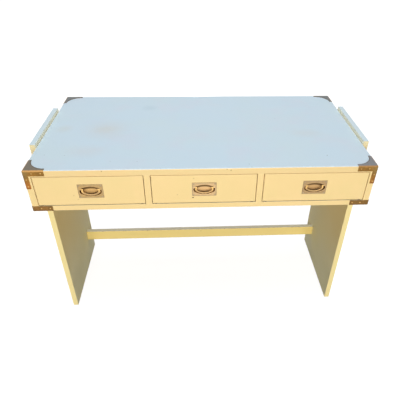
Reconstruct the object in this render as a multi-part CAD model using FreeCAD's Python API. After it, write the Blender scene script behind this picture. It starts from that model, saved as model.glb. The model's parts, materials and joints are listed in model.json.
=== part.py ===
import FreeCAD, Part
import math
import os

# Campaign desk: a three-drawer case with brass corners, on two slab legs and a stretcher.
# Millimetres. The origin is on the floor under the middle of the case.
# +X runs to the right of someone sitting at the desk's front, +Y to the back, +Z up.

Vector = FreeCAD.Vector

# Case
desk_width = 1152.0
desk_depth = 604.0
desk_height = 770.0
case_height = 158.0
top_thickness = 23.0
end_thickness = 22.0
bottom_thickness = 20.0
partition_thickness = 21.0
partition_spacing = 374.0
back_thickness = 12.0
back_rebate = 8.0
corner_easing = 3.5
board_easing = 1.2

# Legs and stretcher
leg_depth = 396.0
leg_thickness = 20.5
stretcher_height = 50.0
stretcher_thickness = 20.0
stretcher_level = 138.0
stretcher_back_room = 67.0
cleat_section = 28.0
cleat_end_room = 38.0

# Carry rails on the ends
rail_thickness = 19.0
rail_length = 308.0
rail_height = 60.0
rail_rise = 13.0

# Floor glides under the legs
foot_diameter = 14.0
foot_height = 3.0
foot_easing = 1.0
foot_nail_diameter = 2.4
foot_nail_length = 16.0
foot_place_shares = (-0.76, 0.76)

# Dowels
dowel_diameter = 8.0
dowel_end_room = 0.8
dowel_reach_share = 0.74
case_dowel_shares = (-0.75, -0.3, 0.3, 0.75)
leg_dowel_shares = (-0.8, -0.27, 0.27, 0.8)
stretcher_dowel_shares = (-0.5, 0.5)

# Wood screws
screw_head_diameter = 8.0
screw_head_depth = 3.2
screw_shank_diameter = 4.0
screw_bite_share = 0.66
rail_screw_shares = (-0.82, -0.28, 0.28, 0.82)

# Brass corner brackets and straps
bracket_gauge = 1.2
bracket_reach = 67.0
bracket_drop = 68.0
bracket_arm_room = 3.8
bracket_upright_room = 6.2
bracket_tip_width = 12.0
strap_reach = 67.5
strap_room = 0.5
pin_head_diameter = 4.6
pin_head_height = 0.9
pin_shank_diameter = 1.4
pin_bite = 5.0
bracket_pin_shares = (0.42, 0.84)
bracket_upright_pin_shares = (0.48, 0.87)
strap_pin_shares = (0.44, 0.86)

# Drawers
drawer_gap = 2.0
drawer_front_thickness = 19.0
drawer_front_easing = 1.5
drawer_rear_room = 92.0
drawer_side_thickness = 12.0
drawer_side_inset = 5.0
drawer_side_drop = 12.0
drawer_back_thickness = 12.0
drawer_panel_thickness = 5.0
drawer_housing_depth = 6.0
drawer_groove_depth = 5.0
drawer_back_rebate = 5.0

# Drawer guides, shoes, stops and glide tacks
guide_width = 22.0
guide_height = 11.0
guide_front_room = 4.0
shoe_wall = 5.0
shoe_bridge = 5.0
shoe_thickness = 8.0
shoe_side_play = 0.4
stop_length = 24.0
stop_height = 12.0
notch_room = 3.0
tack_head_diameter = 13.0
tack_head_height = 2.2
tack_head_easing = 0.8
tack_shank_diameter = 2.4
tack_shank_length = 10.0
tack_set_back = 1.0

# Drawer pulls
pull_place_share = 0.994
plate_width = 82.0
plate_height = 53.0
plate_thickness = 1.6
plate_easing = 0.7
dish_length = 72.0
dish_height = 38.0
dish_depth = 10.0
dish_gauge = 1.2
dish_floor_radius = 4.0
dish_below_middle = 0.8
oval_end_share = 0.68
bail_width = 6.2
bail_thickness = 4.0
bail_side_room = 5.2
bail_bottom_room = 0.9
bail_axis_depth = 2.0
eye_diameter = 4.8
eye_length = 6.8
eye_room = 1.0
eye_play = 0.35
lug_set_in = 5.2
trunnion_diameter = 2.6
trunnion_length = 3.0
pull_screw_inset = 5.5
pull_screw_head_diameter = 5.2
pull_screw_head_height = 1.0
pull_screw_shank_diameter = 2.6
pull_screw_tip_room = 6.0

# Clearances
running_gap = 0.25
stop_gap = 0.3
fit_gap = 0.1
groove_room = 0.5
panel_room = 1.5
pocket_room = 0.4
overrun = 5.0
same_place = 0.001

# Places that follow from the sizes above
half_width = desk_width / 2
half_depth = desk_depth / 2
front_y = -half_depth
case_floor_z = desk_height - case_height
bay_floor_z = case_floor_z + bottom_thickness
top_under_z = desk_height - top_thickness
end_inner_x = half_width - end_thickness
end_middle_x = half_width - end_thickness / 2
back_inner_y = half_depth - back_thickness
partition_x = partition_spacing / 2
leg_inner_x = half_width - leg_thickness
leg_middle_x = half_width - leg_thickness / 2
half_leg_depth = leg_depth / 2
cleat_length = leg_depth - 2 * cleat_end_room
stretcher_y = half_leg_depth - stretcher_back_room - stretcher_thickness / 2
bracket_arm_height = top_thickness - bracket_arm_room
bracket_upright_width = end_thickness - bracket_upright_room
strap_height = bottom_thickness - strap_room
dowel_reach = dowel_reach_share * min(top_thickness, end_thickness, bottom_thickness, leg_thickness)
bays = {
    "left": (-end_inner_x, -partition_x - partition_thickness / 2),
    "middle": (-partition_x + partition_thickness / 2, partition_x - partition_thickness / 2),
    "right": (partition_x + partition_thickness / 2, end_inner_x),
}

drawer_bottom_z = bay_floor_z + tack_head_height + running_gap
drawer_top_z = top_under_z - drawer_gap
drawer_side_top_z = drawer_top_z - drawer_side_drop
drawer_front_back_y = front_y + drawer_front_thickness
drawer_back_y = back_inner_y - drawer_rear_room
guide_top_z = bay_floor_z + guide_height
panel_under_z = guide_top_z + panel_room
shoe_under_z = guide_top_z + running_gap
shoe_back_y = drawer_back_y + shoe_thickness

plate_z = (drawer_bottom_z + drawer_top_z) / 2
plate_front_y = front_y - plate_thickness
pull_screw_length = drawer_front_thickness - pull_screw_tip_room
dish_z = plate_z - dish_below_middle
dish_floor_y = plate_front_y + dish_depth
dish_back_y = dish_floor_y + dish_gauge
bail_axis_y = plate_front_y + bail_axis_depth
lug_inner_x = dish_length / 2 - lug_set_in
eye_outer_x = lug_inner_x - eye_play
eye_inner_x = eye_outer_x - eye_length
eye_middle_x = eye_outer_x - eye_length / 2
dish_end_radius = oval_end_share * dish_height / 2
dish_end_x = dish_length / 2 - dish_end_radius
bail_rise = math.sqrt(dish_end_radius**2 - (eye_outer_x - dish_end_x) ** 2) - eye_diameter / 2 - eye_room
bail_axis_z = dish_z + bail_rise

right = Vector(1, 0, 0)
left = Vector(-1, 0, 0)
back = Vector(0, 1, 0)
up = Vector(0, 0, 1)
down = Vector(0, 0, -1)
origin = Vector(0, 0, 0)


def board(x_faces, y_faces, z_faces):
    """A square-edged board between three pairs of faces."""
    faces = (x_faces, y_faces, z_faces)
    lows = [min(pair) for pair in faces]
    sizes = [abs(pair[1] - pair[0]) for pair in faces]
    return Part.makeBox(*sizes, Vector(*lows))


def about(middle, size):
    """The two faces that lie half a size each side of a middle."""
    return (middle - size / 2, middle + size / 2)


def rod(start, direction, length, diameter):
    """A round rod."""
    return Part.makeCylinder(diameter / 2, length, start, direction)


def united(pieces):
    """One solid from pieces that run into each other."""
    return pieces[0].multiFuse(pieces[1:]).removeSplitter()


def lies_in(edge, axis, place):
    """Whether an edge lies in the plane where an axis has this value."""
    low = getattr(edge.BoundBox, axis + "Min")
    high = getattr(edge.BoundBox, axis + "Max")
    return abs(low - place) < same_place and abs(high - place) < same_place


def edges_in(shape, axis, place):
    """All edges in one plane."""
    return [edge for edge in shape.Edges if lies_in(edge, axis, place)]


def edges_between(shape, *planes):
    """All edges where two of the given planes meet."""
    return [edge for edge in shape.Edges if sum(lies_in(edge, *plane) for plane in planes) == 2]


def drilled(shape, holes):
    """A piece with the holes that reach it taken out."""
    near = [hole for hole in holes if shape.BoundBox.intersect(hole.BoundBox)]
    return shape.cut(near) if near else shape


def mirrored_right_to_left(shape):
    """The same piece on the other side of the desk."""
    return shape.mirror(origin, right)


def mirrored_front_to_back(shape):
    """The same piece at the other edge of the desk."""
    return shape.mirror(origin, back)


def save(name, shapes):
    """Write one node: a single solid, or a group of separate ones."""
    Part.makeCompound(shapes).exportStep("parts/" + name + ".step")


# Dowels


def leg_dowel_stations():
    """Places of the leg dowels from front to back."""
    return [share * half_leg_depth for share in leg_dowel_shares]


def dowel_places():
    """Middle and direction of every dowel, at the face where its two boards meet."""
    places = []
    stretcher_levels = [stretcher_level + share * stretcher_height / 2 for share in stretcher_dowel_shares]
    for side in (-1, 1):
        for share in case_dowel_shares:
            y = share * half_depth
            places.append((Vector(side * end_middle_x, y, top_under_z), up))
            places.append((Vector(side * end_inner_x, y, case_floor_z + bottom_thickness / 2), right))
            places.append((Vector(side * partition_x, y, top_under_z), up))
            places.append((Vector(side * partition_x, y, bay_floor_z), up))
        for y in leg_dowel_stations():
            places.append((Vector(side * leg_middle_x, y, case_floor_z), up))
        for z in stretcher_levels:
            places.append((Vector(side * leg_inner_x, stretcher_y, z), right))
    return places


def dowels():
    """The dowels, each half in one board and half in the next."""
    length = 2 * dowel_reach
    return [rod(middle - way * dowel_reach, way, length, dowel_diameter) for middle, way in dowel_places()]


def dowel_holes():
    """The holes that the dowels sit in."""
    depth = dowel_reach + dowel_end_room
    bore = dowel_diameter + 2 * fit_gap
    return [rod(middle - way * depth, way, 2 * depth, bore) for middle, way in dowel_places()]


# Wood screws


def wood_screw(place, way, length, gap):
    """A countersunk wood screw with its head flush at a place, grown by a gap when it is a hole."""
    head_radius = screw_head_diameter / 2 + gap
    shank_radius = screw_shank_diameter / 2 + gap
    head = Part.makeCone(head_radius, shank_radius, screw_head_depth, place, way)
    shank = rod(place, way, length + gap, 2 * shank_radius)
    return united([head, shank])


def rail_screws(gap):
    """Screws from inside each end panel into its carry rail."""
    rail_foot_z = desk_height + rail_rise - rail_height
    z = (rail_foot_z + top_under_z) / 2
    length = end_thickness + screw_bite_share * rail_thickness
    screws = []
    for side, way in ((-1, left), (1, right)):
        for share in rail_screw_shares:
            place = Vector(side * end_inner_x, share * rail_length / 2, z)
            screws.append(wood_screw(place, way, length, gap))
    return screws


def cleat_screws(gap):
    """Screws up through each cleat into the case beside the dowels, and into the leg between them."""
    stations = leg_dowel_stations()
    between = [(near + far) / 2 for near, far in zip(stations, stations[1:])]
    middle_z = case_floor_z - cleat_section / 2
    foot_z = case_floor_z - cleat_section
    up_length = cleat_section + screw_bite_share * bottom_thickness
    side_length = cleat_section + screw_bite_share * leg_thickness
    screws = []
    for side, way in ((-1, left), (1, right)):
        middle_x = side * (leg_inner_x - cleat_section / 2)
        inner_x = side * (leg_inner_x - cleat_section)
        for y in stations[1:-1]:
            screws.append(wood_screw(Vector(middle_x, y, foot_z), up, up_length, gap))
        for y in between:
            screws.append(wood_screw(Vector(inner_x, y, middle_z), way, side_length, gap))
    return screws


# Brass corners


def corner_block(grow, foot_z, head_z):
    """The front right corner of the case with its edges rounded, grown outward by a thickness."""
    reach = max(bracket_reach, strap_reach) + overrun
    outer_x = half_width + grow
    outer_y = front_y - grow
    block = board((half_width - reach, outer_x), (outer_y, front_y + reach), (foot_z, head_z))
    edges = edges_between(block, ("X", outer_x), ("Y", outer_y), ("Z", head_z))
    return block.makeFillet(corner_easing + grow, edges)


def top_bracket():
    """The three-way bracket on the front right corner of the desktop."""
    low_z = desk_height - bracket_drop
    shell = corner_block(bracket_gauge, low_z - overrun, desk_height + bracket_gauge)
    shell = shell.cut(corner_block(0, low_z - overrun, desk_height))
    outer_x = half_width + bracket_gauge
    outer_y = front_y - bracket_gauge
    top_z = desk_height + bracket_gauge
    tip_x = half_width - bracket_reach
    tip_y = front_y + bracket_reach
    arm_z = desk_height - bracket_arm_height
    wrap = corner_easing
    arc_diameter = 2 * (bracket_reach - bracket_tip_width)
    arc = rod(Vector(tip_x, tip_y, desk_height - overrun), up, 2 * overrun, arc_diameter)
    top_leaf = board((tip_x, outer_x), (outer_y, tip_y), (desk_height - wrap, top_z)).cut(arc)
    arms = [
        board((tip_x, outer_x), (outer_y, front_y + wrap), (arm_z, top_z)),
        board((half_width - bracket_upright_width, outer_x), (outer_y, front_y + wrap), (low_z, top_z)),
        board((half_width - wrap, outer_x), (outer_y, tip_y), (arm_z, top_z)),
        board((half_width - wrap, outer_x), (outer_y, front_y + bracket_upright_width), (low_z, top_z)),
    ]
    return shell.common(united([top_leaf] + arms))


def bottom_strap():
    """The strap that wraps the front right corner at the bottom of the case."""
    top_z = case_floor_z + strap_height
    shell = corner_block(bracket_gauge, case_floor_z, top_z + 2 * overrun)
    shell = shell.cut(corner_block(0, case_floor_z - overrun, top_z + 2 * overrun))
    outline = board(
        (half_width - strap_reach, half_width + bracket_gauge),
        (front_y - bracket_gauge, front_y + strap_reach),
        (case_floor_z, top_z),
    )
    return shell.common(outline)


def front_right_pin_places():
    """Board face and direction of every pin at the front right corner."""
    places = []
    arm_z = desk_height - bracket_arm_height / 2
    upright = bracket_upright_width / 2
    strap_z = case_floor_z + strap_height / 2
    for share in bracket_pin_shares:
        along = share * bracket_reach
        places.append((Vector(half_width - along, front_y, arm_z), back))
        places.append((Vector(half_width, front_y + along, arm_z), left))
    for share in bracket_upright_pin_shares:
        z = desk_height - share * bracket_drop
        places.append((Vector(half_width - upright, front_y, z), back))
        places.append((Vector(half_width, front_y + upright, z), left))
    for share in strap_pin_shares:
        along = share * strap_reach
        places.append((Vector(half_width - along, front_y, strap_z), back))
        places.append((Vector(half_width, front_y + along, strap_z), left))
    return places


def domed_pin(place, way, base_height, head_diameter, head_height, shank_diameter, bite):
    """A domed pin or screw whose head sits on a base of this height above a board face."""
    head_radius = head_diameter / 2
    dome_radius = (head_radius**2 + head_height**2) / (2 * head_height)
    start = math.degrees(math.asin(1 - head_height / dome_radius))
    seat = place - way * base_height
    middle = seat + way * (dome_radius - head_height)
    dome = Part.makeSphere(dome_radius, middle, -way, start, 90, 360)
    shank = rod(seat, way, base_height + bite, shank_diameter)
    return united([dome, shank])


def front_right_pins():
    """The domed brass pins of the front right bracket and strap."""
    head = (bracket_gauge, pin_head_diameter, pin_head_height)
    shank = (pin_shank_diameter, pin_bite)
    return [domed_pin(place, way, *head, *shank) for place, way in front_right_pin_places()]


def front_right_pin_holes():
    """The holes that those pins sit in."""
    bore = pin_shank_diameter + 2 * fit_gap
    depth = bracket_gauge + pin_bite + fit_gap
    return [rod(place - way * bracket_gauge, way, depth, bore) for place, way in front_right_pin_places()]


def at_four_corners(shapes):
    """Pieces made for the front right corner, at all four corners by name."""
    right_back = [mirrored_front_to_back(shape) for shape in shapes]
    return {
        "front_right": shapes,
        "front_left": [mirrored_right_to_left(shape) for shape in shapes],
        "back_right": right_back,
        "back_left": [mirrored_right_to_left(shape) for shape in right_back],
    }


# Case and stand


def desktop():
    """The full-width top board with its exposed edges rounded."""
    top = board((-half_width, half_width), (front_y, half_depth), (top_under_z, desk_height))
    planes = [("X", -half_width), ("X", half_width), ("Y", front_y), ("Y", half_depth), ("Z", desk_height)]
    return top.makeFillet(corner_easing, edges_between(top, *planes))


def right_end_panel():
    """The right end of the case, rebated for the back."""
    panel = board((end_inner_x, half_width), (front_y, half_depth), (case_floor_z, top_under_z))
    edges = edges_between(panel, ("X", half_width), ("Y", front_y), ("Y", half_depth))
    panel = panel.makeFillet(corner_easing, edges)
    rebate = board(
        (end_inner_x - overrun, end_inner_x + back_rebate),
        (back_inner_y, half_depth + overrun),
        (bay_floor_z, top_under_z),
    )
    return panel.cut(rebate)


def case_bottom():
    """The board under the drawers, between the ends."""
    bottom = board((-end_inner_x, end_inner_x), (front_y, half_depth), (case_floor_z, bay_floor_z))
    edges = edges_between(bottom, ("Y", front_y), ("Z", case_floor_z), ("Z", bay_floor_z))
    return bottom.makeFillet(board_easing, edges)


def case_back():
    """The back panel, let into the ends."""
    reach = end_inner_x + back_rebate
    return board((-reach, reach), (back_inner_y, half_depth), (bay_floor_z, top_under_z))


def right_partition():
    """The upright between the middle and right drawers."""
    x_faces = about(partition_x, partition_thickness)
    upright = board(x_faces, (front_y, back_inner_y), (bay_floor_z, top_under_z))
    edges = edges_between(upright, ("Y", front_y), ("X", x_faces[0]), ("X", x_faces[1]))
    return upright.makeFillet(board_easing, edges)


def right_carry_rail():
    """The rail on the outside of the right end, standing above the desktop."""
    outer_x = half_width + rail_thickness
    head_z = desk_height + rail_rise
    rail = board((half_width, outer_x), about(0, rail_length), (head_z - rail_height, head_z))
    ends = [("Y", -rail_length / 2), ("Y", rail_length / 2)]
    levels = [("Z", head_z - rail_height), ("Z", head_z)]
    edges = edges_between(rail, ("X", outer_x), *ends, *levels)
    return rail.makeFillet(board_easing, edges)


def right_leg_panel():
    """The slab leg under the right end."""
    leg = board((leg_inner_x, half_width), about(0, leg_depth), (foot_height, case_floor_z))
    sides = [("X", leg_inner_x), ("X", half_width), ("Y", -half_leg_depth), ("Y", half_leg_depth)]
    return leg.makeFillet(board_easing, edges_between(leg, *sides))


def right_leg_cleat():
    """The strip in the corner between the right leg and the case."""
    return board(
        (leg_inner_x - cleat_section, leg_inner_x),
        about(0, cleat_length),
        (case_floor_z - cleat_section, case_floor_z),
    )


def stretcher():
    """The low bar between the legs."""
    y_faces = about(stretcher_y, stretcher_thickness)
    z_faces = about(stretcher_level, stretcher_height)
    bar = board((-leg_inner_x, leg_inner_x), y_faces, z_faces)
    sides = [("Y", face) for face in y_faces] + [("Z", face) for face in z_faces]
    return bar.makeFillet(board_easing, edges_between(bar, *sides))


def foot_places():
    """Floor points under the legs where the glides stand."""
    stations = [share * half_leg_depth for share in foot_place_shares]
    return [Vector(side * leg_middle_x, y, 0) for side in (-1, 1) for y in stations]


def floor_glide(place):
    """A nailed glide under a leg."""
    disc = rod(place, up, foot_height, foot_diameter)
    disc = disc.makeFillet(foot_easing, edges_in(disc, "Z", 0))
    nail = rod(place, up, foot_height + foot_nail_length, foot_nail_diameter)
    return united([disc, nail])


def floor_glide_holes():
    """The nail holes in the feet of the legs."""
    bore = foot_nail_diameter + 2 * fit_gap
    return [rod(place, up, foot_height + foot_nail_length + fit_gap, bore) for place in foot_places()]


# What the drawers run on


def drawer_side_middles(bay):
    """Middle of the left and right side of a bay's drawer."""
    inset = drawer_gap + drawer_side_inset + drawer_side_thickness / 2
    return (bays[bay][0] + inset, bays[bay][1] - inset)


def bay_middle(bay):
    """Middle of a bay from side to side."""
    return sum(bays[bay]) / 2


def pull_middle(bay):
    """Middle of a bay's pull from side to side, a little nearer to the desk's middle in the side bays."""
    return pull_place_share * bay_middle(bay)


def tack_places():
    """Points on the case bottom where the glide tacks stand, under the drawer sides."""
    y = front_y + tack_set_back + tack_head_diameter / 2
    return [Vector(x, y, bay_floor_z) for bay in bays for x in drawer_side_middles(bay)]


def glide_tack(place):
    """A round-headed nylon tack that a drawer side slides on."""
    head = rod(place, up, tack_head_height, tack_head_diameter)
    head = head.makeFillet(tack_head_easing, edges_in(head, "Z", bay_floor_z + tack_head_height))
    shank = rod(place, down, tack_shank_length, tack_shank_diameter)
    return united([head, shank])


def tack_holes():
    """The holes for the tacks in the case bottom."""
    bore = tack_shank_diameter + 2 * fit_gap
    return [rod(place, down, tack_shank_length + fit_gap, bore) for place in tack_places()]


def drawer_guide(bay):
    """The strip along the middle of a bay that keeps its drawer straight."""
    start = drawer_front_back_y + guide_front_room
    x_faces = about(bay_middle(bay), guide_width)
    return board(x_faces, (start, back_inner_y), (bay_floor_z, guide_top_z))


def drawer_stop(bay):
    """The block on a guide that the drawer meets when it is shut."""
    start = shoe_back_y + stop_gap
    x_faces = about(bay_middle(bay), guide_width)
    return board(x_faces, (start, start + stop_length), (guide_top_z, guide_top_z + stop_height))


# Drawers


def panel_board(bay, reach, slack):
    """A board that enters the drawer's sides, front and back by a reach, thicker by a slack each way."""
    left_x, right_x = drawer_side_middles(bay)
    half_side = drawer_side_thickness / 2
    return board(
        (left_x + half_side - reach, right_x - half_side + reach),
        (drawer_front_back_y - reach, drawer_back_y - drawer_back_thickness + reach),
        (panel_under_z - slack, panel_under_z + drawer_panel_thickness + slack),
    )


def drawer_bottom(bay):
    """The hardboard bottom of a drawer."""
    return panel_board(bay, drawer_groove_depth - groove_room, 0)


def bottom_groove(bay):
    """The groove round a drawer that its bottom sits in."""
    return panel_board(bay, drawer_groove_depth, fit_gap)


def drawer_side(bay, index):
    """A drawer side, housed in the front and rebated for the back."""
    middle = drawer_side_middles(bay)[index]
    inward = 1 if index == 0 else -1
    inner_x = middle + inward * drawer_side_thickness / 2
    side = board(
        about(middle, drawer_side_thickness),
        (drawer_front_back_y - drawer_housing_depth, drawer_back_y),
        (drawer_bottom_z, drawer_side_top_z),
    )
    rebate = board(
        (inner_x - inward * drawer_back_rebate, inner_x + inward * overrun),
        (drawer_back_y - drawer_back_thickness, drawer_back_y + overrun),
        (drawer_bottom_z - overrun, drawer_side_top_z + overrun),
    )
    return side.cut([rebate, bottom_groove(bay)])


def drawer_back(bay):
    """A drawer back, notched to pass over the guide."""
    left_x, right_x = drawer_side_middles(bay)
    reach = drawer_back_rebate - drawer_side_thickness / 2
    y_faces = (drawer_back_y - drawer_back_thickness, drawer_back_y)
    plank = board((left_x - reach, right_x + reach), y_faces, (drawer_bottom_z, drawer_side_top_z))
    notch = board(
        about(bay_middle(bay), guide_width + 2 * notch_room),
        (y_faces[0] - overrun, y_faces[1] + overrun),
        (drawer_bottom_z - overrun, shoe_under_z),
    )
    return plank.cut([notch, bottom_groove(bay)])


def drawer_shoe(bay):
    """The nylon shoe behind a drawer back that straddles the guide."""
    y_faces = (drawer_back_y, shoe_back_y)
    mouth = guide_width + 2 * shoe_side_play
    x_faces = about(bay_middle(bay), mouth + 2 * shoe_wall)
    body = board(x_faces, y_faces, (drawer_bottom_z, shoe_under_z + shoe_bridge))
    slot = board(
        about(bay_middle(bay), mouth),
        (y_faces[0] - overrun, y_faces[1] + overrun),
        (drawer_bottom_z - overrun, shoe_under_z),
    )
    return body.cut(slot)


def drawer_front(bay):
    """An inset drawer front, housed for its sides and pocketed for its pull."""
    x_faces = (bays[bay][0] + drawer_gap, bays[bay][1] - drawer_gap)
    plank = board(x_faces, (front_y, drawer_front_back_y), (drawer_bottom_z, drawer_top_z))
    plank = plank.makeFillet(drawer_front_easing, edges_in(plank, "Y", front_y))
    housings = [
        board(
            about(middle, drawer_side_thickness),
            (drawer_front_back_y - drawer_housing_depth, drawer_front_back_y + overrun),
            (drawer_bottom_z - overrun, drawer_side_top_z),
        )
        for middle in drawer_side_middles(bay)
    ]
    pocket = dish_prism(bay, dish_gauge + pocket_room, front_y - overrun, dish_back_y + pocket_room)
    holes = [rod(place, back, pull_screw_length + fit_gap, bore) for place, bore in pull_screw_holes(bay)]
    return plank.cut(housings + [bottom_groove(bay), pocket] + holes)


# Pulls


def oval_long_centre(end_x, end_z):
    """How far the centre of an oval's long arc lies past its middle, and from its end centres."""
    sink = (end_x**2 - end_z**2) / (2 * end_z)
    return sink, math.hypot(end_x, sink)


def oval_face(middle, half_length, half_height, end_radius):
    """A four-centred oval, standing upright across the desk."""
    end_x = half_length - end_radius
    sink, spread = oval_long_centre(end_x, half_height - end_radius)
    join_x = end_x + end_radius * end_x / spread
    join_z = end_radius * sink / spread
    corners = [(-join_x, join_z), (join_x, join_z), (join_x, -join_z), (-join_x, -join_z)]
    crowns = [(0, half_height), (half_length, 0), (0, -half_height), (-half_length, 0)]
    points = [middle + Vector(x, 0, z) for x, z in corners]
    tops = [middle + Vector(x, 0, z) for x, z in crowns]
    arcs = [Part.Arc(points[i], tops[i], points[(i + 1) % 4]).toShape() for i in range(4)]
    return Part.Face(Part.Wire(arcs))


def dish_prism(bay, grow, start_y, end_y):
    """The oval of a pull's dish, grown by a thickness, between two depths."""
    middle = Vector(pull_middle(bay), start_y, dish_z)
    half_sizes = (dish_length / 2 + grow, dish_height / 2 + grow)
    return oval_face(middle, *half_sizes, dish_end_radius + grow).extrude(back * (end_y - start_y))


def pull_screw_places(bay):
    """Points on the drawer front behind the corners of a pull plate."""
    across = plate_width / 2 - pull_screw_inset
    along = plate_height / 2 - pull_screw_inset
    middle = pull_middle(bay)
    return [Vector(middle + x * across, front_y, plate_z + z * along) for x in (-1, 1) for z in (-1, 1)]


def pull_screw_holes(bay):
    """Each of those points with the bore of its hole."""
    return [(place, pull_screw_shank_diameter + 2 * fit_gap) for place in pull_screw_places(bay)]


def pull_screws(bay):
    """The four domed screws of a pull plate."""
    head = (plate_thickness, pull_screw_head_diameter, pull_screw_head_height)
    shank = (pull_screw_shank_diameter, pull_screw_length)
    return [domed_pin(place, back, *head, *shank) for place in pull_screw_places(bay)]


def pull_lug(bay, side):
    """A lug at the side of a dish that carries one end of the bail."""
    middle = pull_middle(bay)
    x_faces = (middle + side * lug_inner_x, middle + side * dish_length / 2)
    z_faces = about(bail_axis_z, eye_diameter)
    stem = board(x_faces, (bail_axis_y, dish_back_y), z_faces)
    nose_start = Vector(x_faces[0], bail_axis_y, bail_axis_z)
    nose = rod(nose_start, right * side, dish_length / 2 - lug_inner_x, eye_diameter)
    lug = united([stem, nose]).common(dish_prism(bay, dish_gauge, plate_front_y - overrun, dish_back_y))
    start = Vector(middle + side * eye_outer_x, bail_axis_y, bail_axis_z)
    depth = eye_play + trunnion_length
    return lug, rod(start, right * side, depth, trunnion_diameter + 2 * fit_gap)


def pull_plate(bay):
    """A brass plate with its oval dish and the two lugs for the bail."""
    middle = pull_middle(bay)
    plate = board(about(middle, plate_width), (plate_front_y, front_y), about(plate_z, plate_height))
    shell = united([plate, dish_prism(bay, dish_gauge, front_y - plate_thickness / 2, dish_back_y)])
    shell = shell.cut(dish_prism(bay, 0, plate_front_y - overrun, dish_floor_y))
    shell = shell.makeFillet(dish_floor_radius, edges_in(shell, "Y", dish_floor_y))
    shell = shell.makeFillet(plate_easing, edges_in(shell, "Y", plate_front_y))
    lugs = [pull_lug(bay, side) for side in (-1, 1)]
    shell = united([shell] + [lug for lug, bore in lugs])
    holes = [bore for lug, bore in lugs]
    lead = plate_thickness + overrun
    for place, bore in pull_screw_holes(bay):
        holes.append(rod(place - back * lead, back, lead + overrun, bore))
    return shell.cut(holes)


def bail_path(bay):
    """Middle line of a bail: two leaning arms that run smoothly into three arcs round the bottom."""
    half_length = dish_length / 2 - bail_side_room - bail_width / 2
    half_height = dish_height / 2 - bail_bottom_room - bail_width / 2
    radius = oval_end_share * (half_height + bail_width / 2) - bail_width / 2
    end_x = half_length - radius
    sink, spread = oval_long_centre(end_x, half_height - radius)
    eye_away = math.hypot(eye_middle_x - end_x, bail_rise)
    lean = math.atan2(bail_rise, eye_middle_x - end_x) - math.acos(radius / eye_away)
    outline = [
        (eye_middle_x, bail_rise),
        (end_x + radius * math.cos(lean), radius * math.sin(lean)),
        (half_length, 0),
        (end_x + radius * end_x / spread, -radius * sink / spread),
    ]
    middle = Vector(pull_middle(bay), bail_axis_y, dish_z)
    eye, bend, side, join = [middle + Vector(x, 0, z) for x, z in outline]
    far_eye, far_bend, far_side, far_join = [middle + Vector(-x, 0, z) for x, z in outline]
    bottom = middle - up * half_height
    return [
        Part.LineSegment(eye, bend).toShape(),
        Part.Arc(bend, side, join).toShape(),
        Part.Arc(join, bottom, far_join).toShape(),
        Part.Arc(far_join, far_side, far_bend).toShape(),
        Part.LineSegment(far_bend, far_eye).toShape(),
    ]


def pull_bail(bay):
    """The swinging bail: an oval bar bent to half a ring, with an eye and a trunnion at each end."""
    path = Part.Wire(bail_path(bay))
    eye = path.Vertexes[0].Point
    across = back.cross(path.Edges[0].tangentAt(path.Edges[0].FirstParameter)).normalize()
    section = Part.Ellipse(eye + across * (bail_width / 2), eye + back * (bail_thickness / 2), eye)
    bow = path.makePipeShell([Part.Wire(section.toShape())], True, False)
    fittings = []
    for side in (-1, 1):
        start = Vector(pull_middle(bay) + side * eye_inner_x, bail_axis_y, bail_axis_z)
        fittings.append(rod(start, right * side, eye_length, eye_diameter))
        fittings.append(rod(start, right * side, eye_length + trunnion_length, trunnion_diameter))
    return united([bow] + fittings)


# Nodes


def write_case():
    """Write the case, its carry rails and its brass corners."""
    corner_pins = at_four_corners(front_right_pins())
    corner_holes = at_four_corners(front_right_pin_holes())
    pin_holes = [hole for holes in corner_holes.values() for hole in holes]
    screw_holes = rail_screws(fit_gap) + cleat_screws(fit_gap)
    holes = dowel_holes() + pin_holes + screw_holes + tack_holes() + floor_glide_holes()
    save("desktop", [drilled(desktop(), holes)])
    save("case_bottom", [drilled(case_bottom(), holes)])
    save("case_back", [drilled(case_back(), holes)])
    save("stretcher", [drilled(stretcher(), holes)])
    pairs = {
        "end_panel": right_end_panel(),
        "partition": right_partition(),
        "carry_rail": right_carry_rail(),
        "leg_panel": right_leg_panel(),
        "leg_cleat": right_leg_cleat(),
    }
    for name, shape in pairs.items():
        save("right_" + name, [drilled(shape, holes)])
        save("left_" + name, [drilled(mirrored_right_to_left(shape), holes)])
    for name, shape in (("top_bracket", top_bracket()), ("bottom_strap", bottom_strap())):
        for corner, shapes in at_four_corners([shape]).items():
            save(corner + "_" + name, [drilled(shapes[0], pin_holes)])
    save("bracket_pins", [pin for pins in corner_pins.values() for pin in pins])
    save("dowels", dowels())
    save("rail_screws", rail_screws(0))
    save("cleat_screws", cleat_screws(0))
    save("floor_glides", [floor_glide(place) for place in foot_places()])


def write_drawers():
    """Write the drawers with their pulls, and what they run on."""
    save("glide_tacks", [glide_tack(place) for place in tack_places()])
    save("drawer_stops", [drawer_stop(bay) for bay in bays])
    for bay in bays:
        save(bay + "_drawer_guide", [drawer_guide(bay)])
        save(bay + "_drawer_front", [drawer_front(bay)])
        save(bay + "_drawer_left_side", [drawer_side(bay, 0)])
        save(bay + "_drawer_right_side", [drawer_side(bay, 1)])
        save(bay + "_drawer_back", [drawer_back(bay)])
        save(bay + "_drawer_bottom", [drawer_bottom(bay)])
        save(bay + "_drawer_shoe", [drawer_shoe(bay)])
        save(bay + "_pull_plate", [pull_plate(bay)])
        save(bay + "_pull_bail", [pull_bail(bay)])
        save(bay + "_pull_screws", pull_screws(bay))


os.makedirs("parts", exist_ok=True)
write_case()
write_drawers()
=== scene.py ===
"""Looks of a campaign desk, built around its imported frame.

Metres. +X runs to the right of someone who sits at the drawers, +Y to the back, +Z up from the floor.
"""

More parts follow.
